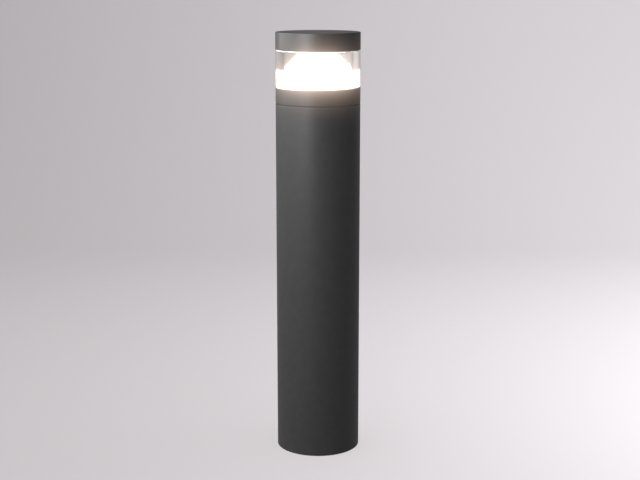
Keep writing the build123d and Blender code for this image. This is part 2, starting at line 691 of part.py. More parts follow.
# ---------------------------------------------------------------- connector
pin_circle = 4.0
pin_azimuths = (90, 210, 330)
socket_cavity_radius = connector_radius - 2.2
nose_radius = socket_cavity_radius - 0.4
cavity_depth = nose_length + 1.0
head_lead_diameter = 4.5
socket_centre = Vector(0, connector_y, 0)
with BuildPart() as socket_housing:
    with Locations((0, connector_y, socket_bottom)):
        Cylinder(connector_radius, socket_top - socket_bottom,
                 align=(Align.CENTER, Align.CENTER, Align.MIN))
    fillet(socket_housing.edges().group_by(Axis.Z)[0], 2.0)
    with Locations((0, connector_y, tray_top)):
        Cylinder(connector_radius + 2.5, 2.0, align=(Align.CENTER, Align.CENTER, Align.MIN))
    with Locations((0, connector_y, socket_top)):
        Hole(socket_cavity_radius, depth=cavity_depth)
    with Locations((0, connector_y, socket_bottom)):
        Cylinder(head_lead_diameter / 2, 12.0, mode=Mode.SUBTRACT)
    with Locations(*[socket_centre + polar(pin_circle, a, socket_top - cavity_depth) for a in pin_azimuths]):
        Cylinder(1.0, 10.0, mode=Mode.SUBTRACT)
write(socket_housing.part, "socket_housing")

with BuildPart() as socket_nut:
    with BuildSketch(Plane.XY.offset(tray_top - sheet)):
        with Locations((0, connector_y)):
            RegularPolygon(connector_radius + 2.0, 6, major_radius=False)
            Circle(connector_radius + thread_gap, mode=Mode.SUBTRACT)
    extrude(amount=-4.0)
write(socket_nut.part, "socket_nut")

pin_length = 12.0
with BuildPart() as socket_pins:
    with Locations(*[socket_centre + polar(pin_circle, a, socket_top - 3.0) for a in pin_azimuths]):
        Cylinder(1.0, pin_length, align=(Align.CENTER, Align.CENTER, Align.MAX))
    chamfer(socket_pins.edges().group_by(Axis.Z)[-1], 0.3)
write(socket_pins.part, "socket_pins")

sleeve_radius = 2.1
nose_bottom = plug_bottom - nose_length
with BuildPart() as plug_housing:
    with Locations((0, connector_y, plug_bottom)):
        Cylinder(connector_radius, plug_length, align=(Align.CENTER, Align.CENTER, Align.MIN))
    fillet(plug_housing.edges().group_by(Axis.Z)[0], 0.8)
    with Locations((0, connector_y, plug_bottom)):
        Cylinder(nose_radius, nose_length, align=(Align.CENTER, Align.CENTER, Align.MAX))
    with Locations(*[socket_centre + polar(pin_circle, a, nose_bottom) for a in pin_azimuths]):
        Cylinder(sleeve_radius, 2 * (nose_length + 1.0), mode=Mode.SUBTRACT)
    with Locations((0, connector_y, plate_bottom)):
        Cylinder(head_lead_diameter / 2, 16.0, mode=Mode.SUBTRACT)
    # grip ribs round the body
    with BuildSketch(Plane.XY.offset(plug_bottom + 2.0)):
        with Locations((0, connector_y)):
            with PolarLocations(connector_radius, 12):
                Circle(0.7)
    extrude(amount=plug_length - 4.0, mode=Mode.SUBTRACT)
write(plug_housing.part, "plug_housing")

with BuildPart() as plug_sleeves:
    with BuildSketch(Plane.XY.offset(nose_bottom)):
        with Locations(*[(socket_centre + polar(pin_circle, a)) for a in pin_azimuths]):
            Circle(sleeve_radius)
            Circle(1.35, mode=Mode.SUBTRACT)
    extrude(amount=nose_length + 1.0)
write(plug_sleeves.part, "plug_sleeves")

# ---------------------------------------------------------------- leads in the post
mains_start = Vector(lead_gland_x, gland_y, box_top - box_wall - 7.0)
mains_end = Vector(driver_terminal_x, driver_axis_y, driver_bottom + 5.0)
gland_end = box_top + gland_reach
room = driver_bottom - gland_end
mains_route = [
    mains_start,
    Vector(lead_gland_x, gland_y, gland_end + 0.22 * room),
    Vector(driver_terminal_x, driver_axis_y, gland_end + 0.72 * room),
    mains_end,
]
write(lead("mains_lead", mains_route, mains_lead_diameter), "mains_lead")

core_diameter = 1.8
block_top = block_bottom + block_height
core_drop = mains_start.Z - block_top  # from the end of the lead to the block
with BuildPart() as mains_cores:
    for azimuth, way_x in zip((180, 270, 0), way_xs):
        start = mains_start + polar(1.9, azimuth)
        end = Vector(way_x, wire_y, block_top)
        across = Vector(end.X - start.X, end.Y - start.Y, 0)
        core_route = [
            start,
            start + Vector(0, 0, -0.2 * core_drop),
            start + across * 0.3 + Vector(0, 0, -0.42 * core_drop),
            start + across * 0.8 + Vector(0, 0, -0.64 * core_drop),
            start + across + Vector(0, 0, -0.88 * core_drop),
            end + Vector(0, 0, -2.5),
        ]
        add(lead("mains_core", core_route, core_diameter))
write(mains_cores.part, "mains_cores")

led_start = Vector(driver_terminal_x, driver_axis_y, driver_top - 5.0)
led_end = Vector(0, connector_y, socket_bottom + 5.0)
led_room = socket_bottom - driver_top
led_route = [
    led_start,
    Vector(driver_terminal_x, driver_axis_y, driver_top + 0.22 * led_room),
    Vector(driver_terminal_x / 2 - 1.5, (driver_axis_y + connector_y) / 2, driver_top + 0.5 * led_room),
    Vector(0, connector_y, driver_top + 0.8 * led_room),
    led_end,
]
write(lead("led_lead", led_route, head_lead_diameter), "led_lead")

# ---------------------------------------------------------------- collar
# turned ring with a spigot for the post, a deck for the board and cooling fins under it
tie_bore = tie_diameter / 2 + 0.3
hub_bottom = deck_bottom - 4.5
collar_hub_radius = 8.0
land_outer = post_radius - 1.6  # the collar stands on the post's rim inside the shadow line
ring_groove_depth = 1.6
ring_groove_width = 2.6
ring_groove_bottom = post_top - 6.0
wire_hole_radius = 3.5
wire_hole_y = connector_y
board_screw_diameter = 3.0
board_screw_points = [polar(23.0, a) for a in (90, 210, 330)]
pillar_azimuths = (90, 216, 324)
plate_screw_points = [polar(20.0, a) for a in pillar_azimuths]
with BuildPart() as collar:
    with BuildSketch(Plane.XZ):
        with BuildLine():
            Polyline(
                (tie_bore, hub_bottom),
                (collar_hub_radius, hub_bottom),
                (collar_hub_radius, deck_bottom),
                (spigot_inner, deck_bottom),
                (spigot_inner, spigot_bottom),
                (spigot_radius - 1.0, spigot_bottom),
                (spigot_radius, spigot_bottom + 1.0),
                (spigot_radius, ring_groove_bottom),
                (spigot_radius - ring_groove_depth, ring_groove_bottom),
                (spigot_radius - ring_groove_depth, ring_groove_bottom + ring_groove_width),
                (spigot_radius, ring_groove_bottom + ring_groove_width),
                (spigot_radius, post_top),
                (land_outer, post_top),
                (land_outer, collar_bottom),
                (post_radius - edge_break / 2, collar_bottom),
                (post_radius, collar_bottom + edge_break / 2),
                (post_radius, collar_top - edge_break),
                (post_radius - edge_break, collar_top),
                (clear_bore + 0.3, collar_top),
                (clear_bore + 0.3, deck_top),
                (tie_bore, deck_top),
                close=True,
            )
        make_face()
    revolve(axis=Axis.Z)
    with BuildSketch(Plane.XY.offset(fin_bottom)):
        fin_length = spigot_inner - fin_start
        with PolarLocations(fin_start + fin_length / 2, fin_count):
            Rectangle(fin_length + 0.6, fin_thickness)
        with Locations(*plate_screw_points):
            Circle(4.0)
    extrude(amount=fin_height + 0.5)
    with Locations((0, wire_hole_y, deck_bottom)):
        Cylinder(wire_hole_radius, 6 * deck_thickness, mode=Mode.SUBTRACT)
    with Locations(*[p + Vector(0, 0, deck_top) for p in board_screw_points]):
        Hole(board_screw_diameter / 2 + thread_gap, depth=deck_thickness)
    with Locations(*[p + Vector(0, 0, fin_bottom) for p in plate_screw_points]):
        Cylinder(board_screw_diameter / 2 + thread_gap, 16.0, mode=Mode.SUBTRACT)
    # flats for the lock screws, open downwards so that the head lifts straight off
    spigot_flat = lock_screw_height + 5.0 - spigot_bottom
    for azimuth in rear_azimuths:
        with Locations(radial_plane(azimuth, spigot_radius - flat_depth, spigot_bottom - 1.0)):
            Box(2 * lock_screw_diameter, spigot_flat + 1.0, 2 * flat_depth,
                align=(Align.CENTER, Align.MIN, Align.MIN), mode=Mode.SUBTRACT)
write(collar.part, "collar")

ring_section = (ring_groove_depth - 0.02) / 2
with BuildPart() as collar_seal:
    with BuildSketch(Plane.XZ):
        ring_axis = spigot_radius - ring_groove_depth + ring_section
        with Locations((ring_axis + 0.01, ring_groove_bottom + ring_groove_width / 2)):
            Circle(ring_section)
    revolve(axis=Axis.Z)
write(collar_seal.part, "collar_seal")

# ---------------------------------------------------------------- connector plate
with BuildPart() as connector_plate:
    with BuildSketch(Plane.XY.offset(plate_bottom)):
        Circle(26.0)
        with Locations((0, connector_y)):
            Circle(head_lead_diameter / 2 + 0.5, mode=Mode.SUBTRACT)
        Circle(6.5, mode=Mode.SUBTRACT)
        with Locations(*plate_screw_points):
            Circle(board_screw_diameter / 2 + 0.2, mode=Mode.SUBTRACT)
        with Locations(*[polar(18.0, a) for a in (25, 155)]):
            Circle(5.5, mode=Mode.SUBTRACT)
    extrude(amount=plate_thickness)
write(connector_plate.part, "connector_plate")

plate_screw = pan_screw(board_screw_diameter, 8.0)
plate_screw_places = [
    Plane(origin=p + Vector(0, 0, plate_bottom), x_dir=(1, 0, 0), z_dir=(0, 0, -1))
    for p in plate_screw_points
]
write(screws_at(plate_screw, plate_screw_places), "connector_plate_screws")

# ---------------------------------------------------------------- light board
with BuildPart() as thermal_pad:
    with BuildSketch(Plane.XY.offset(deck_top)):
        Circle(board_radius - 1.0)
        Circle(collar_hub_radius + 0.5, mode=Mode.SUBTRACT)
        with Locations((0, wire_hole_y)):
            Circle(wire_hole_radius + 2.0, mode=Mode.SUBTRACT)
        with Locations(*board_screw_points):
            Circle(board_screw_diameter / 2 + 0.4, mode=Mode.SUBTRACT)
    extrude(amount=pad_thickness)
write(thermal_pad.part, "thermal_pad")

board_bottom = deck_top + pad_thickness
board_top = board_bottom + board_thickness
with BuildPart() as led_board:
    with BuildSketch(Plane.XY.offset(board_bottom)):
        Circle(board_radius)
        Circle(collar_hub_radius, mode=Mode.SUBTRACT)
        with Locations((0, wire_hole_y)):
            Circle(wire_hole_radius + 1.5, mode=Mode.SUBTRACT)
        with Locations(*board_screw_points):
            Circle(board_screw_diameter / 2 + 0.2, mode=Mode.SUBTRACT)
    extrude(amount=board_thickness)
write(led_board.part, "led_board")

chip_size, chip_height = 3.0, 0.8
with BuildPart() as led_chips:
    with BuildSketch(Plane.XY.offset(board_top)):
        with PolarLocations(28.5, 12, start_angle=15):
            Rectangle(chip_size, chip_size)
        with PolarLocations(17.5, 6, start_angle=0):
            Rectangle(chip_size, chip_size)
    extrude(amount=chip_height)
    chamfer(led_chips.edges().group_by(Axis.Z)[-1], 0.15)
write(led_chips.part, "led_chips")

board_screw = pan_screw(board_screw_diameter, 5.5)
board_screw_places = [p + Vector(0, 0, board_top) for p in board_screw_points]
write(screws_at(board_screw, board_screw_places), "led_board_screws")

# wire connector on the board, with two holes that the cores drop into
clip_y = connector_y - 14.0
clip_height = 4.2
core_gap = 2.4
with BuildPart() as board_connector:
    with Locations((0, clip_y, board_top)):
        Box(8.0, 5.5, clip_height, align=(Align.CENTER, Align.CENTER, Align.MIN))
    chamfer(board_connector.faces().sort_by(Axis.Z)[-1].edges(), 0.5)
    with Locations((-core_gap / 2, clip_y, board_top + clip_height), (core_gap / 2, clip_y, board_top + clip_height)):
        Hole(0.85, depth=3.0)
write(board_connector.part, "board_connector")

# grommet in the deck's wire hole
with BuildPart() as lead_grommet:
    with BuildSketch(Plane.XZ):
        with BuildLine():
            Polyline(
                (head_lead_diameter / 2, deck_bottom - 1.2),
                (wire_hole_radius + 0.8, deck_bottom - 1.2),
                (wire_hole_radius + 0.8, deck_bottom),
                (wire_hole_radius, deck_bottom),
                (wire_hole_radius, deck_top),
                (wire_hole_radius + 0.8, deck_top),
                (wire_hole_radius + 0.8, deck_top + 1.2),
                (head_lead_diameter / 2, deck_top + 1.2),
                close=True,
            )
        make_face()
    revolve(axis=Axis.Z)
lead_grommet_part = lead_grommet.part.moved(Location((0, wire_hole_y, 0)))
hub_relief = Cylinder(collar_hub_radius + 0.05, 3.0, mode=Mode.PRIVATE)
lead_grommet_part -= Pos(0, 0, deck_bottom - 1.5) * hub_relief
write(lead_grommet_part, "lead_grommet")

head_lead_top = board_top + 1.0
head_route = [(0, connector_y, plate_bottom - 7.0), (0, connector_y, head_lead_top)]
with BuildPart() as head_lead:
    with BuildSketch(Plane(origin=head_route[0])):
        Circle(head_lead_diameter / 2)
    extrude(amount=head_route[1][2] - head_route[0][2])
write(head_lead.part, "head_lead")

core_rise = 8.0
core_arch = 5.8
with BuildPart() as head_cores:
    for x in (-core_gap / 2, core_gap / 2):
        base = Vector(x, connector_y, head_lead_top)
        tip = Vector(x, clip_y, board_top + clip_height)
        arch_route = [
            base,
            base + Vector(0, 0, core_rise),
            base + Vector(0, -3.6, core_rise + core_arch),
            Vector(x, clip_y + 3.6, base.Z + core_rise + core_arch),
            Vector(x, clip_y, base.Z + core_rise),
            tip - Vector(0, 0, 2.5),
        ]
        add(lead("head_core", arch_route, 1.6))
write(head_cores.part, "head_cores")

# ---------------------------------------------------------------- clear cylinder and gaskets
lower_gasket_bottom = collar_top
clear_bottom = collar_top + gasket
clear_top = cap_bottom - gasket
gasket_inner, gasket_outer = clear_bore + 1.0, clear_outer - 0.6
write(flat_ring(gasket_outer, gasket_inner, gasket, collar_top), "lower_gasket")
write(flat_ring(gasket_outer, gasket_inner, gasket, clear_top), "upper_gasket")

with BuildPart() as clear_cylinder:
    with BuildSketch(Plane.XY.offset(clear_bottom)):
        Circle(clear_outer)
        Circle(clear_bore, mode=Mode.SUBTRACT)
    extrude(amount=clear_top - clear_bottom)
    chamfer(clear_cylinder.edges().filter_by(GeomType.CIRCLE), 0.4)
write(clear_cylinder.part, "clear_cylinder")


# ---------------------------------------------------------------- glowing bell
def bell_solid(inset, bottom):
    """Solid under the bell's surface, taken in by inset: a skirt, a flaring cone and a flat neck."""
    skirt = bell_radius - inset
    neck = bell_neck_radius - inset
    shoulder = bell_shoulder - inset
    top = bell_top - inset
    middle = ((skirt + neck) / 2 - bell_flare, (shoulder + top) / 2 - bell_flare)
    with BuildPart() as bell:
        with BuildSketch(Plane.XZ):
            with BuildLine():
                Polyline((neck, top), (0, top), (0, bottom), (skirt, bottom), (skirt, shoulder))
                ThreePointArc((skirt, shoulder), middle, (neck, top))
            make_face()
        revolve(axis=Axis.Z)
    return bell.part


with BuildPart() as diffuser:
    add(bell_solid(0.0, deck_top))
    fillet(diffuser.edges().filter_by(GeomType.CIRCLE).sort_by(Axis.Z)[1], 2.0)
    add(bell_solid(bell_wall, deck_top - 1.0), mode=Mode.SUBTRACT)
    with Locations((0, 0, bell_top)):
        Cylinder(tie_bore + 0.2, 4 * bell_wall, mode=Mode.SUBTRACT)
write(diffuser.part, "diffuser")
write(flat_ring(bell_neck_radius - 4.0, tie_bore + 0.7, gasket, bell_top), "neck_ring")

# ---------------------------------------------------------------- cap
cap_top_plate = 3.5
cap_skirt = 3.5
cap_rim_height = 4.0
register_depth = 2.5  # ring that centres the cap in the clear cylinder
register_radius = clear_bore - 0.3
register_inner = register_radius - 3.2
cap_inner = post_radius - cap_skirt
cap_hub_radius = 10.0
cap_plate_bottom = overall_height - cap_top_plate
liner_thickness = 1.2
liner_screw_points = [polar(28.0, a) for a in (30, 150, 270)]
tie_hole_top = cap_bottom + 13.0
with BuildPart() as cap:
    with BuildSketch(Plane.XZ):
        with BuildLine():
            Polyline(
                (0, overall_height),
                (post_radius - edge_break, overall_height),
                (post_radius, overall_height - edge_break),
                (post_radius, cap_bottom + edge_break / 2),
                (post_radius - edge_break / 2, cap_bottom),
                (register_radius, cap_bottom),
                (register_radius, cap_bottom - register_depth),
                (register_inner, cap_bottom - register_depth),
                (register_inner, cap_bottom + cap_rim_height),
                (cap_inner, cap_bottom + cap_rim_height),
                (cap_inner, cap_plate_bottom),
                (cap_hub_radius, cap_plate_bottom),
                (cap_hub_radius, cap_bottom),
                (0, cap_bottom),
                close=True,
            )
        make_face()
    revolve(axis=Axis.Z)
    with BuildSketch(Plane.XY.offset(cap_bottom + cap_rim_height)):
        with PolarLocations((cap_hub_radius + cap_inner) / 2, 6):
            Rectangle(cap_inner - cap_hub_radius + 1.0, 2.2)
    extrude(amount=cap_plate_bottom - cap_bottom - cap_rim_height)
    with BuildSketch(Plane.XY.offset(cap_bottom + liner_thickness)):
        with Locations(*liner_screw_points):
            Circle(4.0)
    extrude(amount=cap_plate_bottom - cap_bottom - liner_thickness)
    with BuildSketch(Plane.XY.offset(cap_bottom)):
        with Locations(*liner_screw_points):
            Circle(board_screw_diameter / 2 + thread_gap)
        Circle(tie_diameter / 2 + thread_gap)
    extrude(amount=tie_hole_top - cap_bottom, mode=Mode.SUBTRACT)
write(cap.part, "cap")

with BuildPart() as cap_liner:
    with BuildSketch(Plane.XY.offset(cap_bottom)):
        Circle(register_inner - 0.2)
        Circle(cap_hub_radius + 0.2, mode=Mode.SUBTRACT)
        with Locations(*liner_screw_points):
            Circle(board_screw_diameter / 2 + 0.2, mode=Mode.SUBTRACT)
    extrude(amount=liner_thickness)
write(cap_liner.part, "cap_liner")

liner_screw = pan_screw(board_screw_diameter, 8.0)
liner_screw_places = [
    Plane(origin=p + Vector(0, 0, cap_bottom), x_dir=(1, 0, 0), z_dir=(0, 0, -1))
    for p in liner_screw_points
]
write(screws_at(liner_screw, liner_screw_places), "cap_liner_screws")

# ---------------------------------------------------------------- tie bolt
washer_thickness = 1.6
bolt_seat = hub_bottom - 2 * washer_thickness
with BuildPart() as tie_bolt:
    with Locations((0, 0, bolt_seat)):
        Cylinder(tie_diameter / 2, tie_length, align=(Align.CENTER, Align.CENTER, Align.MIN))
        Cylinder(0.83 * tie_diameter, tie_diameter, align=(Align.CENTER, Align.CENTER, Align.MAX))
    chamfer(tie_bolt.edges().group_by(Axis.Z)[-1], 0.8)
    chamfer(tie_bolt.edges().group_by(Axis.Z)[0], 0.5)
    with BuildSketch(Plane.XY.offset(bolt_seat - tie_diameter)):
        RegularPolygon(2.5, 6, major_radius=False)
    extrude(amount=tie_diameter / 2, mode=Mode.SUBTRACT)
write(tie_bolt.part, "tie_bolt")

with BuildPart() as tie_washers:
    with BuildSketch(Plane.XY.offset(hub_bottom - washer_thickness)):
        Circle(6.2)
        Circle(tie_bore, mode=Mode.SUBTRACT)
    extrude(amount=washer_thickness)
    with BuildSketch(Plane.XY.offset(bolt_seat)):
        Circle(5.3)
        Circle(tie_bore, mode=Mode.SUBTRACT)
        with Locations((4.2, 0)):
            Rectangle(3.0, 0.8, mode=Mode.SUBTRACT)
    extrude(amount=washer_thickness - 0.01)
write(tie_washers.part, "tie_washers")
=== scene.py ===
import json
from math import cos, pi, radians, sin, tan

import bpy
import numpy as np
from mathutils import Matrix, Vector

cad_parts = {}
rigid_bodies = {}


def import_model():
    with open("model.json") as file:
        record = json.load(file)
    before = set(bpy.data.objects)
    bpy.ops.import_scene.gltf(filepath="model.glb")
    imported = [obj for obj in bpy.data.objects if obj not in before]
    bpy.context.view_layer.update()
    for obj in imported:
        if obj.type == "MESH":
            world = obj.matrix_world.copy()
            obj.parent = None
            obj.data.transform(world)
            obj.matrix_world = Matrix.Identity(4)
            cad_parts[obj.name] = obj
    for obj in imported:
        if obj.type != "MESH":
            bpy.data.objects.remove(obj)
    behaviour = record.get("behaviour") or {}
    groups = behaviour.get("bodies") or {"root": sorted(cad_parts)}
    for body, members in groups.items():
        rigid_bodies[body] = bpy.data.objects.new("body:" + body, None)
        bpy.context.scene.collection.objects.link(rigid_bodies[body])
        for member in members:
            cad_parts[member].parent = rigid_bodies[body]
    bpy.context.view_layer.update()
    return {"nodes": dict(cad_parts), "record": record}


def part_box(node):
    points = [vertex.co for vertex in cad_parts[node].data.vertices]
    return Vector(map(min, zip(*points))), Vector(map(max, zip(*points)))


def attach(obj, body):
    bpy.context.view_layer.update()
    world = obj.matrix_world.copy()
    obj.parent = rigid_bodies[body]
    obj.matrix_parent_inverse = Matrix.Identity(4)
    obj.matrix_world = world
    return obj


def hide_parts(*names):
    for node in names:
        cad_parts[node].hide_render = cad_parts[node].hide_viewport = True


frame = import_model()
nodes = frame["nodes"]
mm = 0.001


# lowest and highest corner of a CAD node, in millimetres
def cadCorners(node):
    low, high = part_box(node)
    return np.array(low) / mm, np.array(high) / mm


# An outline is a list of corners (u, v, rounding), where a third value of 0 keeps a plain point on a
# straight run or a curve. Rounded corners become arcs and long runs are divided. It gives the points
# and their outward normals, running with the solid on the left.
def outline(corners, closed=True, longest=8.0, steps=5):
    pts = np.array([c[:2] for c in corners], float)
    rounds = [c[2] if len(c) > 2 else 0.0 for c in corners]
    ring = np.roll(pts, -1, axis=0)
    if np.sum(pts[:, 0] * ring[:, 1] - ring[:, 0] * pts[:, 1]) < 0:
        pts, rounds = pts[::-1], rounds[::-1]
    count = len(pts)
    places, normals = [], []
    for i in range(count):
        here = pts[i]
        inward = here - pts[i - 1]
        onward = pts[(i + 1) % count] - here
        if not closed and i == 0:
            inward = onward
        if not closed and i == count - 1:
            onward = inward
        inward = inward / np.linalg.norm(inward)
        onward = onward / np.linalg.norm(onward)
        turn = np.arctan2(inward[0] * onward[1] - inward[1] * onward[0], inward @ onward)
        if rounds[i] == 0 or abs(turn) < 1e-6:
            middle = inward + onward
            middle = middle / np.linalg.norm(middle)
            places.append(here[None])
            normals.append(np.array([[middle[1], -middle[0]]]))
            continue
        reach = rounds[i] * tan(abs(turn) / 2)
        start = here - inward * reach
        side = np.sign(turn) * np.array([-inward[1], inward[0]])  # towards the arc's centre
        angles = np.linspace(0, turn, steps + 1)
        across = np.array([-inward[1], inward[0]])
        tangents = inward * np.cos(angles)[:, None] + across * np.sin(angles)[:, None]
        outward = np.stack([tangents[:, 1], -tangents[:, 0]], 1)
        centre = start + side * rounds[i]
        places.append(centre + outward * rounds[i] * np.sign(turn))
        normals.append(outward)
    p, n = np.concatenate(places), np.concatenate(normals)
    allPlaces, allNormals = [], []
    runs = len(p) if closed else len(p) - 1
    for i in range(runs):
        j = (i + 1) % len(p)
        parts = max(1, int(np.ceil(np.linalg.norm(p[j] - p[i]) / longest)))
        t = np.arange(parts)[:, None] / parts
        allPlaces.append(p[i] + (p[j] - p[i]) * t)
        blended = n[i] + (n[j] - n[i]) * t
        allNormals.append(blended / np.linalg.norm(blended, axis=1)[:, None])
    if not closed:
        allPlaces.append(p[-1:])
        allNormals.append(n[-1:])
    return np.concatenate(allPlaces), np.concatenate(allNormals)


# Turns an outline in (radius, height) round the Z axis: x = r cos a, y = r sin a, z = h.
# A point on the axis becomes one vertex, so that poles are closed.
def turned(points, normals, closed=True, segments=288):
    a = np.arange(segments) * 2 * pi / segments
    ca, sa = np.cos(a)[:, None], np.sin(a)[:, None]
    r, h = points[:, 0][None], points[:, 1][None]
    verts = np.stack([r * ca, r * sa, h + 0 * ca], -1)
    norms = np.stack([normals[:, 0] * ca, normals[:, 0] * sa, normals[:, 1][None] + 0 * ca], -1)
    index = np.arange(verts.shape[0] * verts.shape[1]).reshape(verts.shape[:2])
    onAxis = points[:, 0] < 1e-6
    index[:, onAxis] = index[:1, onAxis]
    across = np.roll(index, -1, axis=0)
    last = points.shape[0] if closed else points.shape[0] - 1
    j = np.arange(last)
    k = (j + 1) % points.shape[0]
    quads = np.stack([index[:, j], across[:, j], across[:, k], index[:, k]], -1)
    return verts.reshape(-1, 3), norms.reshape(-1, 3), [quads.reshape(-1, 4)]


# A straight bar of any rounded section: the outline (u, v) is carried from low to high along the third
# axis, its edges eased by a quarter circle of that radius, its ends closed by a fan to the middle.
def bar(points, normals, low, high, edge=0.3, steps=3, longest=20.0):
    a = np.linspace(0, pi / 2, steps + 1)
    rows = [(edge * (1 - sin(t)), low + edge * (1 - cos(t)), -cos(t)) for t in a]
    parts = max(1, int(np.ceil((high - low - 2 * edge) / longest)))
    rows += [(0.0, low + edge + (high - low - 2 * edge) * i / parts, 0.0) for i in range(1, parts)]
    rows += [(edge * (1 - cos(t)), high - edge * (1 - sin(t)), sin(t)) for t in a]
    verts, norms = [], []
    middle = points.mean(0)
    for inset, level, tilt in rows:
        flat = points - normals * inset
        verts.append(np.column_stack([flat, np.full(len(flat), level)]))
        norms.append(np.column_stack([normals * np.sqrt(1 - tilt**2), np.full(len(flat), tilt)]))
    n = len(points)
    index = np.arange(n * len(rows)).reshape(len(rows), n)
    along = np.roll(index, -1, axis=1)
    faces = np.stack([index[:-1], along[:-1], along[1:], index[1:]], -1).reshape(-1, 4)
    bottom, top = n * len(rows), n * len(rows) + 1
    verts.append(np.array([[*middle, low], [*middle, high]]))
    norms.append(np.array([[0, 0, -1.0], [0, 0, 1.0]]))
    under = np.stack([along[0], index[0], np.full(n, bottom)], -1)
    over = np.stack([index[-1], along[-1], np.full(n, top)], -1)
    return np.concatenate(verts), np.concatenate(norms), [faces, under, over]


def rectangle(width, height, rounding, middle=(0.0, 0.0)):
    w, h = width / 2, height / 2
    x, y = middle
    return outline([(x - w, y - h, rounding), (x + w, y - h, rounding), (x + w, y + h, rounding),
                    (x - w, y + h, rounding)], longest=1e9)


def circle(radius, middle=(0.0, 0.0), count=32):
    a = np.arange(count) * 2 * pi / count
    ways = np.stack([np.cos(a), np.sin(a)], 1)
    return np.array(middle) + ways * radius, ways


# Turns a shape about Z by an angle in degrees.
def spun(shape, angle):
    verts, norms, faces = shape
    c, s = cos(radians(angle)), sin(radians(angle))
    m = np.array([[c, s, 0], [-s, c, 0], [0, 0, 1]])
    return verts @ m, norms @ m, faces


# Joins shapes into one mesh object. A quad with two corners on one point, at a pole, becomes a triangle.
def makePiece(name, shapes, body, standsFor, materials, pick=None):
    verts = np.concatenate([s[0] for s in shapes])
    norms = np.concatenate([s[1] for s in shapes])
    starts = np.cumsum([0] + [len(s[0]) for s in shapes])
    faces = [group.reshape(-1, group.shape[-1]) + start for s, start in zip(shapes, starts) for group in s[2]]
    quads = np.concatenate([f for f in faces if f.shape[1] == 4])
    atStart, atEnd = quads[:, 0] == quads[:, 1], quads[:, 2] == quads[:, 3]
    fans = [f for f in faces if f.shape[1] == 3]
    triangles = np.concatenate([quads[atStart][:, [1, 2, 3]], quads[atEnd][:, [0, 1, 2]], *fans])
    quads = quads[~(atStart | atEnd)]
    used, number = np.unique(np.concatenate([quads.ravel(), triangles.ravel()]), return_inverse=True)
    quads, triangles = number[:quads.size].reshape(-1, 4), number[quads.size:].reshape(-1, 3)
    verts, norms = verts[used], norms[used] / np.linalg.norm(norms[used], axis=1)[:, None]
    mesh = bpy.data.meshes.new(name)
    mesh.from_pydata((verts * mm).tolist(), [], quads.tolist() + triangles.tolist())
    mesh.shade_smooth()
    mesh.normals_split_custom_set_from_vertices(norms.tolist())
    for material in materials:
        mesh.materials.append(material)
    if pick is not None:
        middles = np.concatenate([verts[quads].mean(1), verts[triangles].mean(1)])
        mesh.polygons.foreach_set("material_index", pick(middles).astype(np.int32))
    mesh.update()
    piece = bpy.data.objects.new(name, mesh)
    bpy.context.scene.collection.objects.link(piece)
    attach(piece, body)
    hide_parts(*standsFor)


def colour(hexValue):
    channels = [int(hexValue[i:i + 2], 16) / 255 for i in (0, 2, 4)]
    return tuple(c / 12.92 if c <= 0.04045 else ((c + 0.055) / 1.055) ** 2.4 for c in channels) + (1.0,)


# Adds one node. Settings are its own attributes or its input sockets; links go from (node, output).
def addNode(tree, kind, settings=None, links=None):
    node = tree.nodes.new(kind)
    for key, value in (settings or {}).items():
        if isinstance(key, str) and hasattr(node, key):
            setattr(node, key, value)
        else:
            node.inputs[key].default_value = value
    for key, (source, output) in (links or {}).items():
        tree.links.new(source.outputs[output], node.inputs[key])
    return node


# Starts a material: a Principled shader with its plain settings, and Object coordinates.
def startMaterial(name, settings):
    material = bpy.data.materials.new(name)
    material.use_nodes = True
    tree = material.node_tree
    tree.nodes.clear()
    shader = addNode(tree, "ShaderNodeBsdfPrincipled", settings)
    addNode(tree, "ShaderNodeOutputMaterial", links={"Surface": (shader, "BSDF")})
    place = addNode(tree, "ShaderNodeTexCoord")
    return material, tree, shader, place


# A grain of this size in millimetres gives a noise scale in features per metre.
def perMetre(grain):
    return 1.0 / (grain * mm)


# Mixes two colours by a noise of the patch size, and raises the surface by a finer noise of the grain
# size, which also varies the roughness over its range. Patch, grain and depth are in millimetres.
def grained(name, settings, darker, lighter, patch, grain, depth, roughness):
    material, tree, shader, place = startMaterial(name, settings)
    tone = addNode(tree, "ShaderNodeTexNoise", {"Scale": perMetre(patch), "Detail": 3.0},
                   {"Vector": (place, "Object")})
    ramp = addNode(tree, "ShaderNodeValToRGB", links={"Fac": (tone, "Fac")})
    ramp.color_ramp.elements[0].position, ramp.color_ramp.elements[1].position = 0.35, 0.65
    ramp.color_ramp.elements[0].color = colour(darker)
    ramp.color_ramp.elements[1].color = colour(lighter)
    tree.links.new(ramp.outputs["Color"], shader.inputs["Base Color"])
    fine = addNode(tree, "ShaderNodeTexNoise", {"Scale": perMetre(grain), "Detail": 2.0},
                   {"Vector": (place, "Object")})
    gloss = addNode(tree, "ShaderNodeMapRange", {"To Min": roughness[0], "To Max": roughness[1]},
                    {"Value": (fine, "Fac")})
    tree.links.new(gloss.outputs["Result"], shader.inputs["Roughness"])
    bump = addNode(tree, "ShaderNodeBump", {"Strength": 1.0, "Distance": depth * mm},
                   {"Height": (fine, "Fac")})
    tree.links.new(bump.outputs["Normal"], shader.inputs["Normal"])
    return material


# Polyester powder coat, sprayed and baked: a matt anthracite with a fine orange-peel grain.
powderCoat = grained("powderCoatAnthracite", {"IOR": 1.45}, "292929", "2c2c2c", 9.0, 0.55, 0.012, (0.4, 0.5))
# Die-cast aluminium, shot-blasted: pale, dull, with a coarse skin.
castAluminium = grained("castAluminium", {"Metallic": 1.0}, "9b9d9f", "b3b4b5", 6.0, 0.5, 0.03, (0.42, 0.6))
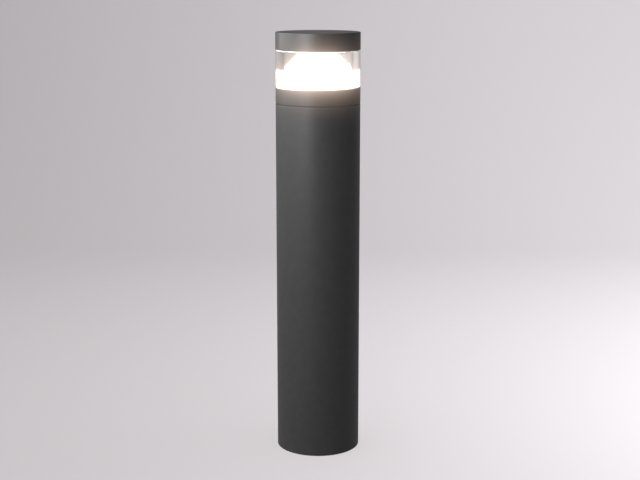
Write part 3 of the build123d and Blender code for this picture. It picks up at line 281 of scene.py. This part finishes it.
# Zinc-plated steel, barrel plated: bright and slightly blue, cloudy in patches.
zincPlate = grained("zincPlatedSteel", {"Metallic": 1.0}, "a9adb1", "c4c7c9", 7.0, 1.2, 0.004, (0.26, 0.4))
# Stainless steel screws, cold formed and machined.
stainless = grained("stainlessSteel", {"Metallic": 1.0}, "8f8d89", "a8a6a1", 1.5, 0.3, 0.004, (0.28, 0.42))
# Brass, turned: warm yellow, clean.
brass = grained("turnedBrass", {"Metallic": 1.0}, "b08d4a", "c9a866", 2.0, 0.3, 0.003, (0.22, 0.34))
# Tin plate over copper, as on crimp lugs: soft grey, slightly warm.
tinPlate = grained("tinnedCopper", {"Metallic": 1.0}, "b3afa7", "c9c6c0", 1.8, 0.4, 0.006, (0.3, 0.45))
# EPDM rubber, moulded: near black, dusty, soft.
rubber = grained("mouldedRubber", {"IOR": 1.5}, "161616", "222222", 3.0, 0.4, 0.01, (0.7, 0.85))
# Silicone sheet, die cut: milky.
silicone = grained("siliconeSheet", {"IOR": 1.41}, "c9c8c2", "d8d7d2", 3.0, 0.6, 0.01, (0.45, 0.6))
# ABS, injection moulded with a spark-eroded texture: light grey.
greyAbs = grained("mouldedAbsGrey", {"IOR": 1.54}, "a2a4a4", "adafaf", 5.0, 0.35, 0.02, (0.42, 0.55))
# Glass-filled polyamide, moulded: black with a faint grey bloom.
polyamide = grained("polyamideBlack", {"IOR": 1.53}, "191a1b", "252627", 2.5, 0.35, 0.015, (0.38, 0.55))
# White polycarbonate, moulded, fine texture.
whitePlastic = grained("polycarbonateWhite", {"IOR": 1.58}, "dddcd6", "e8e7e2", 5.0, 0.4, 0.012, (0.35, 0.48))
# Component cases: black epoxy and polyester film.
component = grained("componentEpoxy", {"IOR": 1.55}, "1b1c20", "2b2d33", 4.0, 0.5, 0.01, (0.3, 0.5))
# White lacquer on sheet metal, sprayed: satin.
whiteLacquer = grained("whiteLacquer", {"IOR": 1.5}, "e6e5e0", "efeeea", 6.0, 0.5, 0.006, (0.32, 0.45))
# Filled silicone pad: blue grey and waxy.
thermalPad = grained("thermalSilicone", {"IOR": 1.45}, "8b93a0", "99a2ae", 2.0, 0.5, 0.01, (0.55, 0.7))
# PVC cable jacket, extruded: black, softly shining.
jacket = grained("pvcJacketBlack", {"IOR": 1.53}, "141414", "1f1f1f", 4.0, 0.6, 0.008, (0.38, 0.5))
# PVC core insulation, extruded: brown.
brownCore = grained("pvcCoreBrown", {"IOR": 1.53}, "4a2a17", "5c3520", 3.0, 0.5, 0.005, (0.35, 0.45))
print("materials: coats, metals and mouldings")


# Earth wire insulation, extruded in two colours: yellow with a green stripe that winds along it. A
# diagonal wave repeats every pi / 5 of its scale, summed over the three axes.
earthStripe = {"green": "2f7a35", "yellow": "d8c62f", "scale": 30.0, "share": 0.45}


def makeEarthInsulation():
    material, tree, shader, place = startMaterial("pvcGreenYellow", {"Roughness": 0.4, "IOR": 1.53})
    stripe = addNode(tree, "ShaderNodeTexWave", {"wave_type": "BANDS", "bands_direction": "DIAGONAL",
                     "Scale": perMetre(earthStripe["scale"]), "Distortion": 0.6, "Detail": 1.0},
                     {"Vector": (place, "Object")})
    ramp = addNode(tree, "ShaderNodeValToRGB", links={"Fac": (stripe, "Fac")})
    ramp.color_ramp.interpolation = "CONSTANT"
    ramp.color_ramp.elements[0].color = colour(earthStripe["green"])
    ramp.color_ramp.elements[1].position = earthStripe["share"]
    ramp.color_ramp.elements[1].color = colour(earthStripe["yellow"])
    tree.links.new(ramp.outputs["Color"], shader.inputs["Base Color"])
    return material


# Circuit board: green solder mask over a glass weave, glossy. A wave along one axis repeats every pi / 10
# of its scale, so a scale of 3 mm gives a dark and a light thread of about 0.5 mm each.
boardWeave = {"dark": "1d5a34", "light": "257042", "scale": 3.0, "relief": 0.01}


def makeSolderMask():
    material, tree, shader, place = startMaterial("solderMaskGreen", {"Roughness": 0.3, "IOR": 1.5})
    weave = addNode(tree, "ShaderNodeTexWave", {"wave_type": "BANDS", "bands_direction": "Z",
                    "Scale": perMetre(boardWeave["scale"]), "Distortion": 2.0, "Detail": 2.0},
                    {"Vector": (place, "Object")})
    ramp = addNode(tree, "ShaderNodeValToRGB", links={"Fac": (weave, "Fac")})
    ramp.color_ramp.elements[0].color = colour(boardWeave["dark"])
    ramp.color_ramp.elements[1].color = colour(boardWeave["light"])
    tree.links.new(ramp.outputs["Color"], shader.inputs["Base Color"])
    bump = addNode(tree, "ShaderNodeBump", {"Distance": boardWeave["relief"] * mm},
                   {"Height": (weave, "Fac")})
    tree.links.new(bump.outputs["Normal"], shader.inputs["Normal"])
    return material


# LED chip: yellow phosphor in clear resin, lit.
chipGlow = {"strength": 4.0, "deep": "ffd98a", "pale": "fff0c0", "grain": 0.4}


def makePhosphor():
    material, tree, shader, place = startMaterial(
        "ledPhosphor", {"Roughness": 0.25, "IOR": 1.5, "Emission Strength": chipGlow["strength"]})
    grain = addNode(tree, "ShaderNodeTexNoise", {"Scale": perMetre(chipGlow["grain"])},
                    {"Vector": (place, "Object")})
    ramp = addNode(tree, "ShaderNodeValToRGB", links={"Fac": (grain, "Fac")})
    ramp.color_ramp.elements[0].color = colour(chipGlow["deep"])
    ramp.color_ramp.elements[1].color = colour(chipGlow["pale"])
    tree.links.new(ramp.outputs["Color"], shader.inputs["Base Color"])
    tree.links.new(ramp.outputs["Color"], shader.inputs["Emission Color"])
    return material


# Opal polycarbonate, moulded and satin: it spreads the light of the board behind it, so it glows all
# over, from full strength at the skirt down to the neck's share, where the chips light it least.
lampGlow = {"strength": 9.0, "neck": 0.2, "skirtTop": 20.0, "warm": "ffe9d2", "cool": "fff6ea", "cloud": 14.0}


def makeOpal():
    material, tree, shader, place = startMaterial("opalPolycarbonate", {"Roughness": 0.5, "IOR": 1.58})
    shader.inputs["Base Color"].default_value = colour("f4f1ea")
    low, high = cadCorners("diffuser")
    split = addNode(tree, "ShaderNodeSeparateXYZ", links={"Vector": (place, "Object")})
    level = addNode(tree, "ShaderNodeMapRange",
                    {"From Min": (low[2] + lampGlow["skirtTop"]) * mm, "From Max": high[2] * mm,
                     "To Min": 1.0, "To Max": lampGlow["neck"]}, {"Value": (split, "Z")})
    cloud = addNode(tree, "ShaderNodeTexNoise", {"Scale": perMetre(lampGlow["cloud"])},
                    {"Vector": (place, "Object")})
    ramp = addNode(tree, "ShaderNodeValToRGB", links={"Fac": (cloud, "Fac")})
    ramp.color_ramp.elements[0].color = colour(lampGlow["warm"])
    ramp.color_ramp.elements[1].color = colour(lampGlow["cool"])
    power = addNode(tree, "ShaderNodeMath", {"operation": "MULTIPLY", 1: lampGlow["strength"]},
                    {0: (level, "Result")})
    tree.links.new(ramp.outputs["Color"], shader.inputs["Emission Color"])
    tree.links.new(power.outputs["Value"], shader.inputs["Emission Strength"])
    return material


# Cast acrylic tube: clear where it is polished and milky where its bore is blasted satin, with the
# faintest warm tint through its thickness.
def makeAcrylic(name, roughness, grain, depth):
    material, tree, shader, place = startMaterial(
        name, {"Roughness": roughness, "IOR": 1.49, "Transmission Weight": 1.0})
    shader.inputs["Base Color"].default_value = colour("fdfbf8")
    ripple = addNode(tree, "ShaderNodeTexNoise", {"Scale": perMetre(grain), "Detail": 1.0},
                     {"Vector": (place, "Object")})
    bump = addNode(tree, "ShaderNodeBump", {"Distance": depth * mm}, {"Height": (ripple, "Fac")})
    tree.links.new(bump.outputs["Normal"], shader.inputs["Normal"])
    return material


earthInsulation = makeEarthInsulation()
solderMask = makeSolderMask()
phosphor = makePhosphor()
opal = makeOpal()
clearAcrylic = makeAcrylic("castAcrylicPolished", 0.0, 30.0, 0.02)
satinAcrylic = makeAcrylic("castAcrylicSatin", 0.55, 0.4, 0.02)
print("materials: board, chips, opal and acrylic")

# every CAD node that stays takes the finish of its slot
finishes = {
    "anthracite_powder_coat": powderCoat, "cast_aluminium": castAluminium, "zinc_plated_steel": zincPlate,
    "stainless_steel": stainless, "tinned_copper": tinPlate, "brass": brass, "black_rubber": rubber,
    "clear_silicone": silicone, "grey_abs": greyAbs, "black_polyamide": polyamide,
    "white_polycarbonate": whitePlastic, "circuit_board": solderMask, "component_plastic": component,
    "white_aluminium_board": whiteLacquer, "thermal_silicone": thermalPad, "led_phosphor": phosphor,
    "clear_acrylic": clearAcrylic, "opal_polycarbonate": opal, "black_pvc_lead": jacket,
    "brown_pvc_core": brownCore, "green_yellow_pvc": earthInsulation,
}
for subpart in frame["record"]["subparts"]:
    node = nodes[subpart["node"]]
    node.data.materials.clear()
    node.data.materials.append(finishes[subpart["material_slot"]])

post = {"wall": 3.0, "edge": 0.6, "boreEdge": 0.25, "screwHole": 3.05, "lockHole": 2.55, "screwHeight": 20.0,
        "lockDrop": 13.0, "azimuths": (60, 120), "columns": 4, "rows": 12, "window": 4.36, "rim": 0.25,
        "rimPoints": 5, "floor": 0.1}
postLow, postHigh = cadCorners("post_tube")
postRadius, postTop = postHigh[0], postHigh[2]


# Opens a round hole in a turned wall: the wall's quads in a window round the hole give way to rings that
# run from the window's edge to the rim, over the rim's rounding and down to a floor near the bore.
def pierce(shape, perTurn, segments, rows, azimuth, height, holeRadius, wallRadius):
    verts, norms, quads = shape
    middle = round(azimuth / 360 * segments)
    cols = np.arange(middle - post["columns"], middle + post["columns"] + 1) % segments
    loop = [(c, rows[0]) for c in cols[:-1]] + [(cols[-1], r) for r in rows[:-1]]
    loop += [(c, rows[-1]) for c in cols[:0:-1]] + [(cols[0], r) for r in rows[:0:-1]]
    border = np.array([c * perTurn + r for c, r in loop])
    angle0 = radians(azimuth)
    sideways = (np.arctan2(verts[border, 1], verts[border, 0]) - angle0 + pi) % (2 * pi) - pi
    flat = np.stack([sideways * wallRadius, verts[border, 2] - height], 1)
    phi = np.arctan2(flat[:, 1], flat[:, 0])
    ways = np.stack([np.cos(phi), np.sin(phi)], 1)
    rim, depth = post["rim"], post["wall"] - post["floor"]
    edge = ways * (holeRadius + rim)
    rings = [(flat * 0.5 + edge * 0.5, 0.0, 0.0), (edge, 0.0, 0.0)]
    for t in np.linspace(0, pi / 2, post["rimPoints"])[1:]:
        rings.append((ways * (holeRadius + rim * (1 - sin(t))), rim * (1 - cos(t)), t))
    rings.append((ways * holeRadius, depth, pi / 2))
    newVerts, newNorms = [], []
    for ring, deep, tilt in rings:
        a = angle0 + ring[:, 0] / wallRadius
        out = np.stack([np.cos(a), np.sin(a), 0 * a], 1)
        along = np.stack([-np.sin(a), np.cos(a), 0 * a], 1)
        newVerts.append(out * (wallRadius - deep) + np.array([0, 0, 1.0]) * (height + ring[:, 1:2]))
        inward = -(along * ways[:, :1] + np.array([0, 0, 1.0]) * ways[:, 1:])
        newNorms.append(out * cos(tilt) + inward * sin(tilt))
    floor = np.array([[cos(angle0) * (wallRadius - depth), sin(angle0) * (wallRadius - depth), height]])
    first = len(verts)
    n = len(border)
    index = np.concatenate([border[None], first + np.arange(n * len(rings)).reshape(len(rings), n)])
    along = np.roll(index, -1, axis=1)
    faces = np.stack([index[:-1], along[:-1], along[1:], index[1:]], -1).reshape(-1, 4)
    fan = np.stack([index[-1], along[-1], np.full(n, first + n * len(rings))], -1)
    keep = np.ones(len(quads[0]), bool)
    column, row = quads[0][:, 0] // perTurn, quads[0][:, 0] % perTurn
    keep[np.isin(column, cols[:-1]) & np.isin(row, rows[:-1])] = False
    verts = np.concatenate([verts, *newVerts, floor])
    norms = np.concatenate([norms, *newNorms, [[cos(angle0), sin(angle0), 0]]])
    return verts, norms, [quads[0][keep], *quads[1:], faces, fan]


def makePost():
    bore = postRadius - post["wall"]
    edge, boreEdge = post["edge"], post["boreEdge"]
    levels = {}
    for name, height in (("screwHole", post["screwHeight"]), ("lockHole", postTop - post["lockDrop"])):
        levels[name] = height + np.linspace(-post["window"], post["window"], post["rows"] + 1)
    wall = [(postRadius, z, 0) for name in ("screwHole", "lockHole") for z in levels[name]]
    corners = [(bore, postLow[2], boreEdge), (postRadius, postLow[2], edge), *wall,
               (postRadius, postTop, edge), (bore, postTop, boreEdge)]
    points, normals = outline(corners)
    shape = turned(points, normals)
    perTurn, segments = len(points), len(shape[0]) // len(points)
    for name in levels:
        onWall = np.abs(points[:, 0] - postRadius) < 1e-6
        low, high = levels[name][0] - 1e-6, levels[name][-1] + 1e-6
        rows = np.where(onWall & (points[:, 1] > low) & (points[:, 1] < high))[0]
        middle = (levels[name][0] + levels[name][-1]) / 2
        for azimuth in post["azimuths"]:
            shape = pierce(shape, perTurn, segments, rows, azimuth, middle, post[name], postRadius)
    makePiece("postSkin", [shape], "post", ["post_tube"], [powderCoat])


makePost()
print("post: turned wall with its four screw holes")

collar = {"edge": 0.6, "lowEdge": 0.35, "wall": 3.5, "slip": 0.3, "land": 1.6, "seam": 1.0, "recess": 4.0,
          "recessGap": 0.8, "deck": 4.0, "hub": 8.0, "hubDrop": 4.5, "bolt": 3.3, "groove": 1.6,
          "grooveWidth": 2.6, "grooveDrop": 6.0, "fins": 10, "finThickness": 2.2, "finStart": 16.5,
          "finHeight": 20.5, "bite": 1.0, "sink": 0.5, "pillar": 4.0, "pillarCircle": 20.0,
          "pillars": (90, 216, 324), "flatDepth": 0.8, "flatWidth": 10.0, "flatAbove": 5.0, "boreKept": 1.0}
collarLow, collarHigh = cadCorners("collar")


def makeCollar():
    c = collar
    outer, top = postRadius, collarHigh[2]
    bottom = postTop + c["seam"]
    spigot = postRadius - post["wall"] - c["slip"]
    inner = spigot - c["wall"]
    land = outer - c["land"]
    deckTop, deckLow = top - c["recess"], top - c["recess"] - c["deck"]
    hubLow = deckLow - c["hubDrop"]
    recess = cadCorners("diffuser")[1][0] + c["recessGap"]
    grooveLow = postTop - c["grooveDrop"]
    groove = spigot - c["groove"]
    corners = [
        (c["bolt"], hubLow, 0.3), (c["hub"], hubLow, 0.3), (c["hub"], deckLow, 0.6), (inner, deckLow, 0.8),
        (inner, collarLow[2], 0.3), (spigot, collarLow[2], 1.0), (spigot, grooveLow, 0.1),
        (groove, grooveLow, 0.1), (groove, grooveLow + c["grooveWidth"], 0.1),
        (spigot, grooveLow + c["grooveWidth"], 0.1), (spigot, postTop, 0.1), (land, postTop, 0.1),
        (land, bottom, 0.1), (outer, bottom, c["lowEdge"]), (outer, top, c["edge"]), (recess, top, 0.3),
        (recess, deckTop, 0.3), (c["bolt"], deckTop, 0.3)]
    points, normals = outline(corners, longest=4.0)
    verts, norms, quads = turned(points, normals)
    # flats for the lock screws: the spigot's radius is cut back to flat / cos(angle off the flat's middle)
    flat = spigot - c["flatDepth"]
    flatTop = postTop - post["lockDrop"] + c["flatAbove"]
    angle = np.arctan2(verts[:, 1], verts[:, 0])
    radius = np.hypot(verts[:, 0], verts[:, 1])
    for azimuth in post["azimuths"]:
        off = angle - radians(azimuth)
        inside = (np.abs(np.tan(off)) * flat < c["flatWidth"] / 2) & (np.cos(off) > 0)
        cut = inside & (verts[:, 2] < flatTop) & (radius * np.cos(off) > flat)
        cut &= radius > inner + c["boreKept"]
        scale = np.where(cut, flat / np.maximum(radius * np.cos(off), 1e-6), 1.0)
        verts[:, :2] *= scale[:, None]
        norms[cut] = (cos(radians(azimuth)), sin(radians(azimuth)), 0)
    shapes = [(verts, norms, quads)]
    # the fins run on a little into the wall, and fins and pillars into the deck
    finReach, bite = inner - c["finStart"], c["bite"]
    blade = rectangle(finReach + bite, c["finThickness"], 0.8, (c["finStart"] + finReach / 2 + bite / 2, 0))
    finLow, finTop = deckLow - c["finHeight"], deckLow + c["sink"]
    for i in range(c["fins"]):
        shapes.append(spun(bar(*blade, finLow, finTop, 0.4), i * 360 / c["fins"]))
    pillar = bar(*circle(c["pillar"], (c["pillarCircle"], 0)), finLow, finTop, 0.4)
    for azimuth in c["pillars"]:
        shapes.append(spun(pillar, azimuth))
    makePiece("collarCasting", shapes, "head", ["collar"], [powderCoat])


makeCollar()
print("collar: casting with spigot, groove, deck and fins")

cap = {"top": 3.5, "skirt": 3.5, "rim": 4.0, "registerDepth": 2.5, "registerWall": 3.2, "gap": 0.3,
       "hub": 10.0, "edge": 0.6, "lowEdge": 0.35, "ribs": 6, "rib": 2.2, "boss": 4.0, "bossCircle": 28.0,
       "bosses": (30, 150, 270), "liner": 1.2, "bite": 1.0, "sink": 0.5}
capLow, capHigh = cadCorners("cap")
# the bore of the clear cylinder is satin up to this height and polished above
clear = {"wall": 9.7, "edge": 0.4, "satinTop": 461.0}
clearLow, clearHigh = cadCorners("clear_cylinder")


def makeCap():
    c = cap
    outer, top = capHigh[0], capHigh[2]
    bottom = capLow[2] + c["registerDepth"]
    register = clearHigh[0] - clear["wall"] - c["gap"]
    registerIn = register - c["registerWall"]
    skirtIn, plateLow = outer - c["skirt"], top - c["top"]
    corners = [
        (0, top), (outer, top, c["edge"]), (outer, bottom, c["lowEdge"]), (register, bottom, 0.2),
        (register, capLow[2], 0.5), (registerIn, capLow[2], 0.4), (registerIn, bottom + c["rim"], 0.4),
        (skirtIn, bottom + c["rim"], 0.8), (skirtIn, plateLow, 0.8), (c["hub"], plateLow, 0.8),
        (c["hub"], bottom, 0.4), (0, bottom)]
    points, normals = outline(corners, closed=False, longest=4.0)
    onAxis = points[:, 0] < 1e-6
    normals[onAxis] = np.where(points[onAxis][:, 1:] > plateLow, [[0, 1]], [[0, -1]])
    shapes = [turned(points, normals, closed=False)]
    # the ribs run on a little into the hub and the skirt, and ribs and bosses into the plate
    blade = rectangle(skirtIn - c["hub"] + c["bite"], c["rib"], 0.7, ((c["hub"] + skirtIn) / 2, 0))
    ribTop = plateLow + c["sink"]
    for i in range(c["ribs"]):
        shapes.append(spun(bar(*blade, bottom + c["rim"], ribTop, 0.3), i * 360 / c["ribs"]))
    boss = bar(*circle(c["boss"], (c["bossCircle"], 0)), bottom + c["liner"], ribTop, 0.3)
    for azimuth in c["bosses"]:
        shapes.append(spun(boss, azimuth))
    makePiece("capCasting", shapes, "head", ["cap"], [powderCoat])


makeCap()
print("cap: casting with register ring, ribs and bosses")


def makeClearCylinder():
    outer, edge = clearHigh[0], clear["edge"]
    bore = outer - clear["wall"]
    corners = [(bore, clearLow[2], edge), (outer, clearLow[2], edge), (outer, clearHigh[2], edge),
               (bore, clearHigh[2], edge), (bore, clear["satinTop"], 0)]
    points, normals = outline(corners, longest=3.0)
    shape = turned(points, normals, segments=384)

    def onSatin(middles):
        radius = np.hypot(middles[:, 0], middles[:, 1])
        return (radius < bore + 0.3) & (middles[:, 2] < clear["satinTop"])

    makePiece("clearTube", [shape], "head", ["clear_cylinder"],
              [clearAcrylic, satinAcrylic], onSatin)


makeClearCylinder()
print("clear cylinder: thick tube, satin in the lower part of its bore")

bell = {"wall": 2.5, "skirt": 26.0, "neck": 17.5, "flare": 0.5, "bore": 3.5}
bellLow, bellHigh = cadCorners("diffuser")


# The bell's side runs from the skirt's shoulder to the neck along a shallow curve: a quadratic through a
# middle point that is hollowed by the flare.
def bellSide(inset, count=24):
    start = np.array([bellHigh[0] - inset, bellLow[2] + bell["skirt"] - inset])
    end = np.array([bell["neck"] - inset, bellHigh[2] - inset])
    middle = (start + end) / 2 - bell["flare"]
    pull = 2 * middle - (start + end) / 2
    t = np.linspace(0, 1, count)[:, None]
    return (1 - t) ** 2 * start + 2 * t * (1 - t) * pull + t**2 * end


def makeBell():
    outside, inside = bellSide(0.0), bellSide(bell["wall"])
    skirtIn = bellHigh[0] - bell["wall"]
    corners = [(skirtIn, bellLow[2], 0.3), (bellHigh[0], bellLow[2], 0.3), (*outside[0], 2.0)]
    corners += [(*p, 0) for p in outside[2:-1]]
    corners += [(*outside[-1], 0.8), (bell["bore"], bellHigh[2], 0.3),
                (bell["bore"], bellHigh[2] - bell["wall"], 0.3), (*inside[-1], 0.8)]
    corners += [(*p, 0) for p in inside[-2:1:-1]]
    corners += [(*inside[0], 1.0)]
    points, normals = outline(corners, longest=4.0)
    shape = turned(points, normals)
    makePiece("opalBell", [shape], "head", ["diffuser"], [opal])


makeBell()
print("bell: opal shade over the light board")

studio = {"floorHalf": 4.0, "front": -4.0, "bend": 1.1, "bendRadius": 1.2, "lip": 0.56, "arcPoints": 25,
          "strips": 8, "paper": "d9d5d7", "air": "f6f4f7", "airLight": 0.3, "airSeen": 0.6}

# azimuth in degrees left of the front, distance, height, width, tallness, watts, the point it faces, and
# what it lights: the bollard's lamps leave the paper as it is, and the paper's lamps the bollard
lamps = {
    "keyFront": (30, 0.5, 0.6, 0.15, 0.3, 3.1, (0, 0, 0.4), "bollard"),
    "keyFrontLeft": (50, 0.5, 0.6, 0.15, 0.3, 1.1, (0, 0, 0.4), "bollard"),
    "keyLeft": (80, 0.5, 0.6, 0.15, 0.3, 1.6, (0, 0, 0.4), "bollard"),
    "keyRim": (110, 0.5, 0.6, 0.15, 0.3, 1.5, (0, 0, 0.4), "bollard"),
    "farLeft": (60, 2.4, 1.8, 1.2, 1.2, 54.0, (-0.3, 0.3, 0.1), "bollard"),
    "paperTop": (0, 0.01, 2.6, 2.0, 2.0, 32.0, (0, 0, 0), "paper"),
    "paperSide": (-100, 1.8, 0.8, 1.0, 1.0, 20.7, (0.9, 1.0, 0.3), "paper"),
    "paperFloor": (-80, 1.1, 0.7, 0.6, 0.6, 7.2, (0.6, 0.2, 0), "paper"),
}


# Paper sweep: the profile (y, z) runs flat and up an arc to a lip, low enough to look over from behind, and
# is carried along X.
def makeSweep():
    s = studio
    a = np.linspace(0, np.arccos(1 - s["lip"] / s["bendRadius"]), s["arcPoints"])
    y = np.concatenate([[s["front"]], s["bend"] + s["bendRadius"] * np.sin(a)])
    z = np.concatenate([[0.0], s["bendRadius"] * (1 - np.cos(a))])
    x = np.linspace(-s["floorHalf"], s["floorHalf"], s["strips"] + 1)
    xs, ys = np.meshgrid(x, y, indexing="ij")
    grid = np.stack([xs, ys, np.broadcast_to(z, ys.shape)], -1)
    index = np.arange(ys.size).reshape(ys.shape)
    quads = np.stack([index[:-1, :-1], index[1:, :-1], index[1:, 1:], index[:-1, 1:]], -1).reshape(-1, 4)
    mesh = bpy.data.meshes.new("paperSweep")
    mesh.from_pydata(grid.reshape(-1, 3).tolist(), [], quads.tolist())
    mesh.shade_smooth()
    paper = grained("paperSweep", {"IOR": 1.4}, s["paper"], s["paper"], 300.0, 2.0, 0.01, (0.85, 0.95))
    mesh.materials.append(paper)
    sweep = bpy.data.objects.new("paperSweep", mesh)
    bpy.context.scene.collection.objects.link(sweep)
    sweep.visible_glossy = False  # the coat mirrors the dim air of the room, so its shaded side stays dark
    return sweep


# A softbox that faces a point and lights what its linked collection says. The bollard doesn't block a
# paper lamp either, so no shadow of it falls on the paper.
def addLamp(name, azimuth, away, height, width, tall, watts, aim, linked):
    light = bpy.data.lights.new(name, "AREA")
    light.shape, light.size, light.size_y = "RECTANGLE", width, tall
    light.energy = watts
    lamp = bpy.data.objects.new(name, light)
    bpy.context.scene.collection.objects.link(lamp)
    turn = radians(azimuth)
    place = np.array([-away * sin(turn), -away * cos(turn), height])
    way = place - np.array(aim)
    lamp.location = place
    tilt, heading = np.arctan2(np.hypot(way[0], way[1]), way[2]), np.arctan2(way[1], way[0])
    lamp.rotation_euler = (tilt, 0, heading + pi / 2)
    lamp.visible_camera = False
    lamp.light_linking.receiver_collection = linked
    if linked.name == "paperOnly":
        lamp.light_linking.blocker_collection = linked


def makeStudio():
    sweep = makeSweep()
    world = bpy.data.worlds.new("studioAir")
    bpy.context.scene.world = world
    world.use_nodes = True
    tree = world.node_tree
    air = tree.nodes["Background"]
    air.inputs["Color"].default_value = colour(studio["air"])
    ray = addNode(tree, "ShaderNodeLightPath")
    seen = addNode(tree, "ShaderNodeMath", {"operation": "MAXIMUM"},
                   {0: (ray, "Is Camera Ray"), 1: (ray, "Is Transmission Ray")})
    # past the paper's edge the room looks paler than the light it gives
    light = addNode(tree, "ShaderNodeMapRange", {"To Min": studio["airLight"], "To Max": studio["airSeen"]},
                    {"Value": (seen, "Value")})
    tree.links.new(light.outputs["Result"], air.inputs["Strength"])
    linked = {"bollard": bpy.data.collections.new("bollardOnly"),
              "paper": bpy.data.collections.new("paperOnly")}
    # the first lights all but the sweep, which it excludes, and the second lights only the sweep
    for collection in linked.values():
        collection.objects.link(sweep)
    linked["bollard"].collection_objects[0].light_linking.link_state = "EXCLUDE"
    for name, (*row, lights) in lamps.items():
        addLamp(name, *row, linked[lights])


# the sensor and lens in millimetres, the place in metres and the downward tilt in degrees that give the
# ellipses of the cap, the seams and the foot
view = {"sensor": 36.0, "lens": 71.94, "nearest": 0.05, "away": 1.5115, "height": 0.5705, "aside": 0.0024,
        "down": 11.73}


def makeCamera():
    lens = bpy.data.cameras.new("frontCamera")
    lens.sensor_width = view["sensor"]
    lens.lens = view["lens"]
    lens.clip_start = view["nearest"]
    camera = bpy.data.objects.new("frontCamera", lens)
    bpy.context.scene.collection.objects.link(camera)
    camera.location = (view["aside"], -view["away"], view["height"])
    camera.rotation_euler = (radians(90 - view["down"]), 0, 0)
    bpy.context.scene.camera = camera


# the lit bell is far brighter than all round it, so the lens spreads a warm halo over the coat next to it
halo = {"size": 0.12, "strength": 0.33, "threshold": 1.5, "tint": (1.0, 0.85, 0.8, 1.0)}


# Adds the bloom of the bell to the picture, on the bollard and not on the paper behind it.
def makeHalo():
    scene = bpy.context.scene
    for piece in scene.objects:
        if piece.type == "MESH" and piece.name != "paperSweep":
            piece.pass_index = 1
    bpy.context.view_layer.use_pass_object_index = True
    scene.use_nodes = True
    tree = scene.node_tree
    tree.nodes.clear()
    layer = addNode(tree, "CompositorNodeRLayers")
    bloom = addNode(tree, "CompositorNodeGlare", {"glare_type": "BLOOM", "Threshold": halo["threshold"],
                    "Strength": 1.0, "Size": halo["size"], "Tint": halo["tint"]}, {"Image": (layer, "Image")})
    onBollard = addNode(tree, "CompositorNodeIDMask", {"index": 1, "use_antialiasing": True})
    numbers = next(socket for socket in layer.outputs if socket.name == "IndexOB")
    tree.links.new(numbers, onBollard.inputs["ID value"])
    share = addNode(tree, "CompositorNodeMath", {"operation": "MULTIPLY", 1: halo["strength"]},
                    {0: (onBollard, "Alpha")})
    total = addNode(tree, "CompositorNodeMixRGB", {"blend_type": "ADD"},
                    {0: (share, "Value"), 1: (layer, "Image"), 2: (bloom, "Glare")})
    addNode(tree, "CompositorNodeComposite", links={"Image": (total, "Image")})


makeStudio()
makeCamera()
makeHalo()
bpy.context.scene.view_settings.view_transform = "Standard"
print("studio: paper sweep, lamps and camera")
